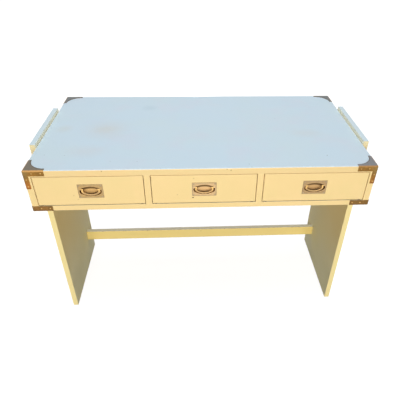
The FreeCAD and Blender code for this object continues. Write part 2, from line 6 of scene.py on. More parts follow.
import json
import logging
import math
from collections.abc import Iterable, Sequence
from dataclasses import dataclass, field, replace
from enum import Enum
from typing import ClassVar

import bmesh
import bpy
from mathutils import Matrix, Vector


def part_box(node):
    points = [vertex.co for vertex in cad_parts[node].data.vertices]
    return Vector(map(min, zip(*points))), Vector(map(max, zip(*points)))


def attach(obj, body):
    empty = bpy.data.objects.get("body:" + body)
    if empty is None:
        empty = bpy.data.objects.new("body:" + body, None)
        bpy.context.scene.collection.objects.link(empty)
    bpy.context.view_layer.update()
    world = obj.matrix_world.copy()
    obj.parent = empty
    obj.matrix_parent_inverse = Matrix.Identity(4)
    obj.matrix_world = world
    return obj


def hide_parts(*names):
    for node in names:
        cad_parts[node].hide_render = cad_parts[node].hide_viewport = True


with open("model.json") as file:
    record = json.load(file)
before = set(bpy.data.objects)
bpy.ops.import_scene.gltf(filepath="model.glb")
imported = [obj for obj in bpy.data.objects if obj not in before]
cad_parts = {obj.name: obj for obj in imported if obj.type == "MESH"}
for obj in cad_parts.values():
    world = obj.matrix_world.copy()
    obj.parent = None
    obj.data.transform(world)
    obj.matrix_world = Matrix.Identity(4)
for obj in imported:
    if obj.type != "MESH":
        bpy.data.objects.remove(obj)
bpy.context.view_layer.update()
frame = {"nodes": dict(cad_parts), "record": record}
MILLIMETRE = 0.001
ORIGIN = (0.0, 0.0, 0.0)
EVEN = (1.0, 1.0, 1.0)
UP = (0.0, 0.0, 1.0)
DOWN = (0.0, 0.0, -1.0)
LEFT = (-1.0, 0.0, 0.0)
RIGHT = (1.0, 0.0, 0.0)
AHEAD = (0.0, -1.0, 0.0)
BACK = (0.0, 1.0, 0.0)
NOISE_MIDDLE = 0.5
FLOAT = "NodeSocketFloat"
VECTOR = "NodeSocketVector"
log = logging.getLogger("campaign_desk")

Triple = tuple[float, float, float]
Socket = bpy.types.NodeSocket
Sockets = dict[str, Socket]
Value = Socket | float | str | Sequence[float]
Inputs = dict[str | int, Value]
Spots = Sequence[tuple[Vector, Vector]]


class Bay(Enum):
    """The three drawer bays."""

    LEFT = "left"
    MIDDLE = "middle"
    RIGHT = "right"


class Side(Enum):
    """The two ends of the desk."""

    LEFT = "left"
    RIGHT = "right"


class Corner(Enum):
    """The four corners of the case."""

    FRONT_LEFT = "front_left"
    FRONT_RIGHT = "front_right"
    BACK_LEFT = "back_left"
    BACK_RIGHT = "back_right"


class Along(Enum):
    """The way that the grain of a board runs, as stretch factors for its pattern."""

    X = (0.06, 1.0, 1.0)
    Y = (1.0, 0.06, 1.0)
    Z = (1.0, 1.0, 0.06)


class Head(Enum):
    """The two forms of fastener head."""

    DOMED = "domed"
    COUNTERSUNK = "countersunk"


class Heading(Enum):
    """The way that a fastener's head looks."""

    OUTWARD = "outward"
    INWARD = "inward"
    UP = "up"


@dataclass(frozen=True)
class Tone:
    """A colour as a screen shows it, each part from 0 to 255, and how much of it hides what is below.

    The class's own values are those of the curve between screen colours and linear light.
    """

    red: float
    green: float
    blue: float
    share: float = 1.0
    full: ClassVar[float] = 255.0
    toe: ClassVar[float] = 0.04045
    toe_slope: ClassVar[float] = 12.92
    offset: ClassVar[float] = 0.055
    power: ClassVar[float] = 2.4

    def decode(self, part: float) -> float:
        """Take one part of a screen colour, from 0 to 1, to linear light."""
        curved = ((part + self.offset) / (1 + self.offset)) ** self.power
        return part / self.toe_slope if part <= self.toe else curved

    @property
    def linear(self) -> tuple[float, ...]:
        """The same colour in linear light, opaque."""
        return (*(self.decode(part / self.full) for part in (self.red, self.green, self.blue)), 1.0)


class Graph:
    """Adds and links the nodes of one tree."""

    # A mix node has several sockets of each name, so its colour sockets go by their places.
    mix_share = 0
    mix_under = 6
    mix_over = 7
    mix_result = 2

    def __init__(self, tree: bpy.types.NodeTree) -> None:
        """Work on a tree."""
        self.tree = tree

    def feed(self, socket: Socket, value: Value) -> None:
        """Link a socket to an output, or set it to a plain value.

        Args:
            socket: The input to feed.
            value: An output socket, a number, a row of numbers or a name.
        """
        if isinstance(value, Socket):
            self.tree.links.new(value, socket)
        else:
            socket.default_value = value

    def node(self, kind: str, given: Inputs | None = None, **options: object) -> bpy.types.Node:
        """Add a node.

        Args:
            kind: The node's type name.
            given: What feeds its inputs, by their names or places.
            options: Settings of the node by name.

        Returns:
            The new node.
        """
        made = self.tree.nodes.new(kind)
        for name, option in options.items():
            setattr(made, name, option)
        for key, value in (given or {}).items():
            self.feed(made.inputs[key], value)
        return made

    def math(self, operation: str, *values: Value) -> Socket:
        """Return the result of a sum on numbers."""
        return self.node("ShaderNodeMath", dict(enumerate(values)), operation=operation).outputs[0]

    def plus(self, first: Value, second: Value) -> Socket:
        """Return the sum of two numbers."""
        return self.math("ADD", first, second)

    def minus(self, first: Value, second: Value) -> Socket:
        """Return the difference of two numbers."""
        return self.math("SUBTRACT", first, second)

    def times(self, first: Value, second: Value) -> Socket:
        """Return the product of two numbers."""
        return self.math("MULTIPLY", first, second)

    def over(self, first: Value, second: Value) -> Socket:
        """Return the quotient of two numbers."""
        return self.math("DIVIDE", first, second)

    def vector(self, operation: str, *values: Value) -> Socket:
        """Return the vector that a sum on vectors gives."""
        made = self.node("ShaderNodeVectorMath", dict(enumerate(values)), operation=operation)
        return made.outputs["Vector"]

    def measure(self, operation: str, *values: Value) -> Socket:
        """Return the number that a sum on vectors gives."""
        made = self.node("ShaderNodeVectorMath", dict(enumerate(values)), operation=operation)
        return made.outputs["Value"]

    def ramp(self, value: Value, start: Value, end: Value, low: float = 0.0, high: float = 1.0) -> Socket:
        """Return a number that goes smoothly from low to high as a value passes from start to end."""
        ends = {"Value": value, "From Min": start, "From Max": end, "To Min": low, "To Max": high}
        return self.node("ShaderNodeMapRange", ends, interpolation_type="SMOOTHSTEP").outputs["Result"]

    def fall(self, value: Value, start: Value, end: Value) -> Socket:
        """Return a number that goes smoothly from 1 to 0 as a value passes from start to end."""
        return self.ramp(value, start, end, 1.0, 0.0)

    def blend(self, share: Value, under: Value, over: Value) -> Socket:
        """Return a colour laid over another, by the share of it that shows."""
        given = {self.mix_share: share, self.mix_under: under, self.mix_over: over}
        return self.node("ShaderNodeMix", given, data_type="RGBA").outputs[self.mix_result]

    def noise(self, place: Socket, scale: Value, detail: float, roughness: float = 0.5) -> Socket:
        """Return a cloudy number from about 0.2 to 0.8, with its finer octaves as detail."""
        given = {"Vector": place, "Scale": scale, "Detail": detail, "Roughness": roughness}
        return self.node("ShaderNodeTexNoise", given).outputs[0]

    def place(self) -> Socket:
        """Return the object coordinates of the surface."""
        return self.node("ShaderNodeTexCoord").outputs["Object"]

    def split(self, vector: Socket) -> bpy.types.NodeOutputs:
        """Return the three parts of a vector."""
        return self.node("ShaderNodeSeparateXYZ", {0: vector}).outputs

    def join(self, **parts: Value) -> Socket:
        """Return a vector made of its three parts."""
        return self.node("ShaderNodeCombineXYZ", parts).outputs[0]


class Effect:
    """A shader node group that puts out masks, built once and placed with each material's own values."""

    name = ""
    inputs: dict[str, str] = {}
    outputs: tuple[str, ...] = ()

    def wire(self, graph: Graph, given: Sockets) -> Sockets:
        """Wire the inside of the group, from its inputs by name to its outputs by name."""
        raise NotImplementedError

    def tree(self) -> bpy.types.NodeTree:
        """Build the group on first use.

        Returns:
            The group.
        """
        if self.name in bpy.data.node_groups:
            return bpy.data.node_groups[self.name]
        tree = bpy.data.node_groups.new(self.name, "ShaderNodeTree")
        for label, kind in self.inputs.items():
            tree.interface.new_socket(label, in_out="INPUT", socket_type=kind)
        for label in self.outputs:
            tree.interface.new_socket(label, in_out="OUTPUT", socket_type=FLOAT)
        graph = Graph(tree)
        start = graph.node("NodeGroupInput").outputs
        graph.node("NodeGroupOutput", self.wire(graph, {label: start[label] for label in self.inputs}))
        return tree

    def put(self, graph: Graph, **values: Value) -> bpy.types.NodeOutputs:
        """Place the group in a material with these inputs, and return its outputs."""
        return graph.node("ShaderNodeGroup", values, node_tree=self.tree()).outputs


class FacingEffect(Effect):
    """Where a surface looks one way."""

    name = "facing"
    inputs = {"Way": VECTOR, "Start": FLOAT, "End": FLOAT}
    outputs = ("Facing",)

    def wire(self, graph: Graph, given: Sockets) -> Sockets:
        """Compare the surface's own normal with the way.

        Args:
            graph: The group's own tree.
            given: The group's inputs by name.

        Returns:
            The group's outputs by name.
        """
        normal = graph.node("ShaderNodeTexCoord").outputs["Normal"]
        lean = graph.measure("DOT_PRODUCT", normal, given["Way"])
        return {"Facing": graph.ramp(lean, given["Start"], given["End"])}


class PastEffect(Effect):
    """Where a surface lies past a plane."""

    name = "past"
    inputs = {"Way": VECTOR, "Start": FLOAT, "Soft": FLOAT}
    outputs = ("Past",)

    def wire(self, graph: Graph, given: Sockets) -> Sockets:
        """Compare the place along the way with the plane."""
        along = graph.measure("DOT_PRODUCT", graph.place(), given["Way"])
        return {"Past": graph.ramp(along, given["Start"], graph.plus(given["Start"], given["Soft"]))}


class RingEffect(Effect):
    """A ring round an upright line."""

    name = "ring"
    inputs = {"Middle": VECTOR, "Radius": FLOAT, "Width": FLOAT}
    outputs = ("Ring",)
    level = (1.0, 1.0, 0.0)

    def wire(self, graph: Graph, given: Sockets) -> Sockets:
        """Compare the distance from the line with the radius.

        Args:
            graph: The group's own tree.
            given: The group's inputs by name.

        Returns:
            The group's outputs by name.
        """
        offset = graph.vector("SUBTRACT", graph.place(), given["Middle"])
        away = graph.measure("LENGTH", graph.vector("MULTIPLY", offset, self.level))
        off = graph.math("ABSOLUTE", graph.minus(away, given["Radius"]))
        return {"Ring": graph.fall(off, 0.0, given["Width"])}


class EdgeEffect(Effect):
    """A ragged band along the edges of a board's box."""

    name = "board_edge"
    inputs = {"Low": VECTOR, "High": VECTOR, "Width": FLOAT, "Ragged": FLOAT}
    outputs = ("Edge",)
    ragged_scale = 90.0
    ragged_detail = 5.0
    ragged_roughness = 0.65

    def wire(self, graph: Graph, given: Sockets) -> Sockets:
        """Take the middle one of the distances to the three pairs of faces.

        Args:
            graph: The group's own tree.
            given: The group's inputs by name.

        Returns:
            The group's outputs by name.
        """
        place = graph.place()
        from_low = graph.vector("SUBTRACT", place, given["Low"])
        from_high = graph.vector("SUBTRACT", given["High"], place)
        near = graph.split(graph.vector("MINIMUM", from_low, from_high))
        lesser = graph.math("MINIMUM", near["X"], near["Y"])
        greater = graph.math("MAXIMUM", near["X"], near["Y"])
        middle = graph.math("MAXIMUM", lesser, graph.math("MINIMUM", greater, near["Z"]))
        cloud = graph.noise(place, self.ragged_scale, self.ragged_detail, self.ragged_roughness)
        swing = graph.times(graph.minus(cloud, NOISE_MIDDLE), given["Ragged"])
        return {"Edge": graph.fall(graph.plus(middle, swing), 0.0, given["Width"])}


class BlotchEffect(Effect):
    """Broad clouds."""

    name = "blotches"
    inputs = {"Scale": FLOAT, "Stretch": VECTOR}
    outputs = ("Cloud",)
    detail = 4.0
    roughness = 0.55

    def wire(self, graph: Graph, given: Sockets) -> Sockets:
        """Stretch the coordinates and read a soft noise."""
        place = graph.vector("MULTIPLY", graph.place(), given["Stretch"])
        return {"Cloud": graph.noise(place, given["Scale"], self.detail, self.roughness)}


class SpeckEffect(Effect):
    """Scattered small round marks."""

    name = "specks"
    inputs = {"Scale": FLOAT, "Size": FLOAT, "Chance": FLOAT}
    outputs = ("Speck",)
    least_share = 0.3
    core_share = 0.5

    def wire(self, graph: Graph, given: Sockets) -> Sockets:
        """Mark the middles of a few random cells.

        Args:
            graph: The group's own tree.
            given: The group's inputs by name.

        Returns:
            The group's outputs by name.
        """
        follows = {"Vector": graph.place(), "Scale": given["Scale"]}
        cells = graph.node("ShaderNodeTexVoronoi", follows, feature="F1").outputs
        away = graph.over(cells["Distance"], given["Scale"])
        draw = graph.split(cells["Color"])
        reach = graph.times(given["Size"], graph.plus(draw["Y"], self.least_share))
        chosen = graph.math("LESS_THAN", draw["X"], given["Chance"])
        spot = graph.fall(away, graph.times(reach, self.core_share), reach)
        return {"Speck": graph.times(chosen, spot)}


class SpotEffect(Effect):
    """One mark with a soft, uneven outline."""

    name = "spot"
    inputs = {"Middle": VECTOR, "Reach": VECTOR, "Soft": FLOAT}
    outputs = ("Spot",)
    uneven_scale = 140.0
    uneven_detail = 3.0
    uneven_share = 0.5

    def wire(self, graph: Graph, given: Sockets) -> Sockets:
        """Measure how far a point lies from the middle, in reaches.

        Args:
            graph: The group's own tree.
            given: The group's inputs by name.

        Returns:
            The group's outputs by name.
        """
        place = graph.place()
        offset = graph.vector("SUBTRACT", place, given["Middle"])
        away = graph.measure("LENGTH", graph.vector("DIVIDE", offset, given["Reach"]))
        cloud = graph.minus(graph.noise(place, self.uneven_scale, self.uneven_detail), NOISE_MIDDLE)
        uneven = graph.plus(away, graph.times(cloud, self.uneven_share))
        return {"Spot": graph.fall(uneven, graph.minus(1.0, given["Soft"]), 1.0)}


class GrainEffect(Effect):
    """Wood grain: broad streaks and fine pores along a board."""

    name = "wood_grain"
    inputs = {"Stretch": VECTOR, "Scale": FLOAT}
    outputs = ("Streak", "Pore")
    waver = 0.35
    wander_share = 0.3
    streak_detail = 6.0
    streak_roughness = 0.62
    pore_scale = 7.0
    pore_detail = 2.0
    pore_ends = (0.58, 0.7)

    def wire(self, graph: Graph, given: Sockets) -> Sockets:
        """Stretch a wavering noise along the grain.

        Args:
            graph: The group's own tree.
            given: The group's inputs by name.

        Returns:
            The group's outputs by name.
        """
        place = graph.vector("MULTIPLY", graph.place(), given["Stretch"])
        follows = {"Vector": place, "Scale": graph.times(given["Scale"], self.wander_share)}
        wander = graph.node("ShaderNodeTexNoise", follows).outputs["Color"]
        swing = {0: wander, "Scale": graph.over(self.waver, given["Scale"])}
        sway = graph.node("ShaderNodeVectorMath", swing, operation="SCALE").outputs["Vector"]
        bent = graph.vector("ADD", place, sway)
        streak = graph.noise(bent, given["Scale"], self.streak_detail, self.streak_roughness)
        fine = graph.noise(bent, graph.times(given["Scale"], self.pore_scale), self.pore_detail)
        return {"Streak": streak, "Pore": graph.ramp(fine, *self.pore_ends)}


class DishEffect(Effect):
    """The oval dish of a pull: all of it, the painted shade on its upper and side walls, the painted
    shadow of the bail along its lower lip and the painted shadow of its upper rim.
    """

    name = "pull_dish"
    inputs = {"Middle": VECTOR, "Reach": VECTOR, "Drop": VECTOR, "Face": FLOAT, "Depth": FLOAT}
    outputs = ("Dish", "Wall", "Sill", "Brow")
    upright = (1.0, 0.0, 1.0)
    # Where each zone starts and ends, as shares of the dish's depth, width, height or oval.
    rim_depth_shares = (0.03, 0.15)
    floor_depth_shares = (0.8, 0.98)
    wall_height_shares = (-0.8, -0.4)
    sill_height_shares = (-0.4, -0.05)
    sill_width_shares = (0.45, 0.75)
    sill_oval_shares = (0.72, 0.84)
    rim_shadow_oval_shares = (0.9, 1.06)

    def wire(self, graph: Graph, given: Sockets) -> Sockets:
        """Compare a point with the dish's depth, its oval and the same oval dropped a little.

        Args:
            graph: The group's own tree.
            given: The group's inputs by name.

        Returns:
            The group's outputs by name.
        """
        place = graph.place()
        depth = graph.over(graph.minus(graph.split(place)["Y"], given["Face"]), given["Depth"])
        dish = graph.ramp(depth, *self.rim_depth_shares)
        wall = graph.minus(dish, graph.ramp(depth, *self.floor_depth_shares))
        offset = graph.vector("SUBTRACT", place, given["Middle"])
        oval = graph.vector("DIVIDE", graph.vector("MULTIPLY", offset, self.upright), given["Reach"])
        dropped = graph.vector("ADD", oval, graph.vector("DIVIDE", given["Drop"], given["Reach"]))
        part = graph.split(oval)
        low = graph.fall(part["Z"], *self.sill_height_shares)
        inward = graph.fall(graph.math("ABSOLUTE", part["X"]), *self.sill_width_shares)
        lip = graph.times(dish, graph.ramp(graph.measure("LENGTH", oval), *self.sill_oval_shares))
        # The oval dropped by the rim's shadow length gives the painted shadow of the upper rim.
        past = graph.ramp(graph.measure("LENGTH", dropped), *self.rim_shadow_oval_shares)
        # Painted shade on the upper and side walls, painted shadow of the bail along the lower lip.
        return {
            "Dish": dish,
            "Wall": graph.times(wall, graph.ramp(part["Z"], *self.wall_height_shares)),
            "Sill": graph.times(graph.times(lip, low), inward),
            "Brow": graph.times(dish, past),
        }


BLOTCHES = BlotchEffect()


@dataclass(frozen=True)
class Layer:
    """A second colour over part of a surface, within another layer's part if one is given."""

    tone: Tone
    where: "Layer | None" = None
    effect: ClassVar[Effect]

    @property
    def output(self) -> str:
        """The output of the effect that the colour follows."""
        return self.effect.outputs[0]

    def mask(self, graph: Graph) -> Value:
        """Place the effect in a material, with the layer's fields of the same names as its inputs."""
        values = {label: getattr(self, label.lower()) for label in self.effect.inputs}
        return self.effect.put(graph, **values)[self.output]

    def within(self, graph: Graph) -> Value:
        """Return the layer's part of the surface, from 0 to 1."""
        mask = self.mask(graph)
        return graph.times(mask, self.where.within(graph)) if self.where else mask

    def cover(self, graph: Graph) -> Socket:
        """Return how much of the colour shows, from 0 to its share."""
        return graph.times(self.within(graph), self.tone.share)


@dataclass(frozen=True)
class Wash(Layer):
    """Colour over the whole surface."""

    def mask(self, graph: Graph) -> Value:
        """Cover everything."""
        return 1.0


@dataclass(frozen=True)
class Facing(Layer):
    """Colour on what looks one way."""

    effect = FacingEffect()
    way: Triple = UP
    start: float = 0.45
    end: float = 0.85


@dataclass(frozen=True)
class Past(Layer):
    """Colour on what lies past a plane."""

    effect = PastEffect()
    way: Triple = BACK
    start: float = 0.0
    soft: float = MILLIMETRE


@dataclass(frozen=True)
class Ring(Layer):
    """Colour in a ring round an upright line."""

    effect = RingEffect()
    middle: Triple = ORIGIN
    radius: float = MILLIMETRE
    width: float = MILLIMETRE


@dataclass(frozen=True)
class EdgeBand(Layer):
    """Colour along the edges of a board."""

    effect = EdgeEffect()
    node: str = ""
    width: float = 1.6 * MILLIMETRE
    ragged: float = 3.2 * MILLIMETRE

    @property
    def low(self) -> Vector:
        """The lowest corner of the board."""
        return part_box(self.node)[0]

    @property
    def high(self) -> Vector:
        """The highest corner of the board."""
        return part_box(self.node)[1]


@dataclass(frozen=True)
class Clouds(Layer):
    """Colour in broad soft blotches."""

    effect = BLOTCHES
    scale: float = 4.0
    stretch: Triple = EVEN
    start: float = 0.4
    end: float = 0.7

    def mask(self, graph: Graph) -> Value:
        """Sharpen the clouds into blotches."""
        return graph.ramp(super().mask(graph), self.start, self.end)


@dataclass(frozen=True)
class Flecks(Layer):
    """Colour in scattered small marks."""

    effect = SpeckEffect()
    scale: float = 20.0
    size: float = 1.5 * MILLIMETRE
    chance: float = 0.3


@dataclass(frozen=True)
class Spot(Layer):
    """Colour in one mark."""

    effect = SpotEffect()
    middle: Triple = ORIGIN
    reach: Triple = (MILLIMETRE, MILLIMETRE, MILLIMETRE)
    soft: float = 0.5


@dataclass(frozen=True)
class Streaks(Layer):
    """Colour in the streaks or the pores of wood grain."""

    effect = GrainEffect()
    along: Along = Along.X
    scale: float = 55.0
    pores: bool = False
    streak_ends: ClassVar[tuple[float, float]] = (0.35, 0.68)

    @property
    def stretch(self) -> Triple:
        """The stretch of the grain along the board."""
        # Dress the plate, and the bail with a painted highlight on its eyes.
        return self.along.value

    @property
    def output(self) -> str:
        """The output of the effect that the colour follows."""
        return "Pore" if self.pores else "Streak"

    def mask(self, graph: Graph) -> Value:
        """Sharpen the streaks. The pores are sharp already."""
        grain = super().mask(graph)
        return grain if self.pores else graph.ramp(grain, *self.streak_ends)


@dataclass(frozen=True)
class Dished(Layer):
    """Colour in one zone of a pull's dish."""

    effect = DishEffect()
    zone: str = "Wall"
    middle: Triple = ORIGIN
    reach: Triple = EVEN
    drop: Triple = ORIGIN
    face: float = 0.0
    depth: float = 1.0

    @property
    def output(self) -> str:
        """The output of the effect that the colour follows."""
        return self.zone


@dataclass(frozen=True)
class Gloss:
    """How rough a surface's reflections are, and how that varies."""

    low: float
    high: float
    scale: float = 30.0
    stretch: Triple = EVEN
    haze_ends: ClassVar[tuple[float, float]] = (0.3, 0.7)


@dataclass(frozen=True)
class Relief:
    """The fine unevenness of a surface."""

    scale: float
    depth: float
    stretch: Triple = EVEN
    strength: float = 0.4


@dataclass(frozen=True)
class Finish:
    """A surface: its colour, the layers over it, its gloss and its relief."""

    name: str
    tone: Tone
    gloss: Gloss
    relief: Relief
    layers: tuple[Layer, ...] = ()
    metallic: float = 0.0

    def material(self, owner: str, extra: Iterable[Layer] = ()) -> bpy.types.Material:
        """Make the material for one piece.

        Args:
            owner: The piece that gets it.
            extra: Layers for this piece alone, over the finish's own.

        Returns:
            The new material.
        """
        material = bpy.data.materials.new(f"{self.name}.{owner}")
        material.use_nodes = True
        graph = Graph(material.node_tree)
        shader = material.node_tree.nodes["Principled BSDF"].inputs
        shader["Metallic"].default_value = self.metallic
        colour: Value = self.tone.linear
        for layer in (*self.layers, *extra):
            colour = graph.blend(layer.cover(graph), colour, layer.tone.linear)
        graph.feed(shader["Base Color"], colour)
        gloss, relief = self.gloss, self.relief
        haze = BLOTCHES.put(graph, Scale=gloss.scale, Stretch=gloss.stretch)["Cloud"]
        graph.feed(shader["Roughness"], graph.ramp(haze, *gloss.haze_ends, gloss.low, gloss.high))
        uneven = BLOTCHES.put(graph, Scale=relief.scale, Stretch=relief.stretch)["Cloud"]
        given = {"Height": uneven, "Distance": relief.depth, "Strength": relief.strength}
        graph.feed(shader["Normal"], graph.node("ShaderNodeBump", given).outputs[0])
        return material


CREAM = Tone(249, 218, 152)
SKY_REFLECTION_BLUE = Tone(203, 225, 239)
RAW_WOOD = Tone(178, 142, 98)
RAW_STREAK = Tone(148, 114, 74, share=0.6)
WHITE = Tone(255, 255, 255)
LACQUER_PEEL = Relief(scale=420.0, depth=0.12 * MILLIMETRE)
LACQUER_GLOSS = Gloss(low=0.3, high=0.42, scale=9.0)
# Painted sky reflection: the lacquer's up-facing faces are painted pale blue.
TOP_SKY_REFLECTION = Facing(SKY_REFLECTION_BLUE, start=0.6, end=0.85)

LACQUER = Finish(
    "lacquer",
    CREAM,
    LACQUER_GLOSS,
    LACQUER_PEEL,
    (
        Clouds(Tone(244, 217, 149, share=0.7), scale=5.0),
        Clouds(Tone(254, 220, 158, share=0.5), scale=11.0, start=0.5, end=0.75),
        Flecks(Tone(178, 148, 96, share=0.55), scale=26.0, size=1.6 * MILLIMETRE, chance=0.12),
    ),
)
LEG_LACQUER = replace(LACQUER, name="leg_lacquer", gloss=Gloss(low=0.6, high=0.72, scale=9.0))
TOP_LACQUER = Finish(
    "top_lacquer",
    Tone(243, 213, 150),
    LACQUER_GLOSS,
    LACQUER_PEEL,
    (
        Clouds(Tone(247, 210, 144, share=0.6), scale=5.0),
        # Painted sky reflection on the up-facing faces, with blotches of paler and bluer reflection in it.
        TOP_SKY_REFLECTION,
        Clouds(Tone(206, 226, 232, share=0.5), TOP_SKY_REFLECTION, scale=3.0),
        Clouds(Tone(210, 219, 234, share=0.4), TOP_SKY_REFLECTION, scale=7.0, start=0.48, end=0.7),
    ),
)
RAIL_LACQUER = replace(
    TOP_LACQUER, name="rail_lacquer", relief=replace(LACQUER_PEEL, depth=0.02 * MILLIMETRE)
)
BRACKET_BRASS = Finish(
    "bracket_brass",
    Tone(134, 98, 42),
    Gloss(low=0.36, high=0.54, scale=60.0),
    Relief(scale=260.0, depth=0.1 * MILLIMETRE),
    (
        Clouds(Tone(152, 108, 46, share=0.7), scale=38.0),
        Clouds(Tone(98, 70, 40, share=0.6), scale=70.0, start=0.5, end=0.72),
    ),
    metallic=0.85,
)
PIN_BRASS = Finish(
    "pin_brass",
    Tone(188, 148, 88),
    Gloss(low=0.35, high=0.5, scale=160.0),
    Relief(scale=500.0, depth=0.05 * MILLIMETRE),
    (Clouds(Tone(160, 122, 70, share=0.6), scale=180.0),),
    metallic=0.85,
)
PULL_BRASS = Finish(
    "pull_brass",
    Tone(172, 142, 98),
    Gloss(low=0.4, high=0.55, scale=90.0),
    Relief(scale=300.0, depth=0.06 * MILLIMETRE, stretch=(0.2, 1.0, 1.0)),
    (
        Clouds(Tone(188, 152, 104, share=0.7), scale=60.0),
        Clouds(Tone(140, 114, 82, share=0.5), scale=110.0, start=0.52, end=0.7),
    ),
    metallic=0.7,
)
PULL_SCREW_BRASS = Finish(
    "pull_screw_brass",
    Tone(166, 148, 118),
    Gloss(low=0.4, high=0.55, scale=160.0),
    Relief(scale=500.0, depth=0.05 * MILLIMETRE),
    (Clouds(Tone(148, 130, 100, share=0.5), scale=180.0),),
    metallic=0.4,
)
BAIL_BRASS = Finish(
    "bail_brass",
    Tone(184, 150, 100),
    Gloss(low=0.48, high=0.62, scale=120.0),
    Relief(scale=400.0, depth=0.03 * MILLIMETRE),
    (Clouds(Tone(166, 132, 84, share=0.6), scale=90.0),),
    metallic=0.6,
)
STEEL = Finish(
    "screw_steel",
    Tone(176, 176, 172),
    Gloss(low=0.3, high=0.45, scale=200.0),
    Relief(scale=600.0, depth=0.04 * MILLIMETRE),
    (Clouds(Tone(140, 138, 132, share=0.6), scale=220.0),),
    metallic=1.0,
)
SHOE_NYLON = Finish(
    "shoe_nylon",
    Tone(226, 221, 206),
    Gloss(low=0.42, high=0.55, scale=120.0),
    Relief(scale=900.0, depth=0.04 * MILLIMETRE),
    (Clouds(Tone(206, 198, 180, share=0.5), scale=80.0),),
)
TACK_NYLON = Finish(
    "tack_nylon",
    Tone(84, 54, 32),
    Gloss(low=0.4, high=0.55, scale=150.0),
    Relief(scale=900.0, depth=0.04 * MILLIMETRE),
    (Clouds(Tone(60, 40, 26, share=0.6), scale=140.0),),
)
FOOT_NYLON = Finish(
    "foot_nylon",
    Tone(96, 86, 76),
    Gloss(low=0.45, high=0.6, scale=150.0),
    Relief(scale=900.0, depth=0.05 * MILLIMETRE),
    (Clouds(Tone(72, 64, 56, share=0.6), scale=140.0),),
)
HARDBOARD = Finish(
    "hardboard",
    Tone(150, 112, 76),
    Gloss(low=0.5, high=0.65, scale=60.0),
    Relief(scale=800.0, depth=0.08 * MILLIMETRE),
    (
        Clouds(Tone(124, 90, 60, share=0.6), scale=240.0),
        Clouds(Tone(168, 128, 90, share=0.5), scale=14.0, start=0.45, end=0.7),
    ),
)


@dataclass(frozen=True)
class Timber:
    """A kind of bare wood: its colour, and the colours of its streaks and pores."""

    name: str
    tone: Tone
    streak: Tone
    pore: Tone

    def along(self, way: Along) -> Finish:
        """Make the finish of a board of this wood.

        Args:
            way: The way that its grain runs.

        Returns:
            The finish.
        """
        return Finish(
            f"{self.name}_{way.name.lower()}",
            self.tone,
            Gloss(low=0.48, high=0.62, scale=40.0, stretch=way.value),
            Relief(scale=420.0, depth=0.12 * MILLIMETRE, stretch=way.value),
            (Streaks(self.streak, along=way), Streaks(self.pore, along=way, pores=True)),
        )


DRAWER_WOOD = Timber(
    "drawer_wood",
    Tone(222, 192, 146),
    Tone(198, 160, 112, share=0.75),
    Tone(160, 122, 80, share=0.4),
)
BARE_WOOD = Timber(
    "bare_wood",
    Tone(208, 182, 140),
    Tone(186, 154, 110, share=0.75),
    Tone(146, 114, 76, share=0.4),
)
DOWEL_BEECH = Timber(
    "dowel_beech",
    Tone(214, 184, 144),
    Tone(196, 162, 120, share=0.75),
    Tone(168, 132, 92, share=0.4),
)
LACQUERED_STRIP = 27.0 * MILLIMETRE
STRIP_SOFT = 4.0 * MILLIMETRE


def raw_inside(way: Triple, along: Along) -> tuple[Layer, ...]:
    """Leave the wood bare on the inner face of a lacquered board, behind a strip along the front.

    Args:
        way: The way that the inner face looks.
        along: The way that its grain runs.

    Returns:
        The wood and its streaks.
    """
    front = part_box("desktop")[0].y
    behind = Past(RAW_WOOD, start=front + LACQUERED_STRIP, soft=STRIP_SOFT)
    face = Facing(RAW_WOOD, behind, way=way)
    return (face, Streaks(RAW_STREAK, face, along=along))


def marks(tone: Tone, reach: Triple, places: Iterable[tuple[float, ...]]) -> list[Layer]:
    """Make small marks of one colour from the X, Y and Z of each and the share of colour that it shows."""
    return [Spot(replace(tone, share=share), middle=(x, y, z), reach=reach) for x, y, z, share in places]


def dress(node: str, finish: Finish, extra: Iterable[Layer] = ()) -> None:
    """Give a CAD node its material.

    Args:
        node: The node's name.
        finish: What it is dressed in.
        extra: Layers for this node alone, over the finish's own.
    """
    slots = frame["nodes"][node].data.materials
    slots.clear()
    slots.append(finish.material(node, extra))
    log.info("dressed %s in %s", node, finish.name)


def slot_of(node: str) -> str:
    """Return the record's material slot of a node."""
    return next(row["material_slot"] for row in frame["record"]["subparts"] if row["node"] == node)


def body_of(node: str) -> str:
    """Return the body that carries a node."""
    bodies = frame["record"]["behaviour"]["bodies"]
    return next(body for body, nodes in bodies.items() if node in nodes)


def solid_boxes(node: str) -> list[tuple[Vector, Vector]]:
    """Find the separate solids of a CAD node.

    Args:
        node: The node's name.

    Returns:
        The lowest and highest corner of each solid.
    """
    copy = bmesh.new()
    copy.from_mesh(frame["nodes"][node].data)
    bmesh.ops.remove_doubles(copy, verts=copy.verts, dist=0.001 * MILLIMETRE)
    left = set(copy.verts)
    boxes = []
    while left:
        reached = [left.pop()]
        for vert in reached:
            joined = {edge.other_vert(vert) for edge in vert.link_edges} & left
            left -= joined
            reached.extend(joined)
        places = [vert.co for vert in reached]
        low = Vector(min(place[axis] for place in places) for axis in range(3))
        high = Vector(max(place[axis] for place in places) for axis in range(3))
        boxes.append((low, high))
    copy.free()
    return sorted(boxes, key=lambda box: tuple(box[0]))


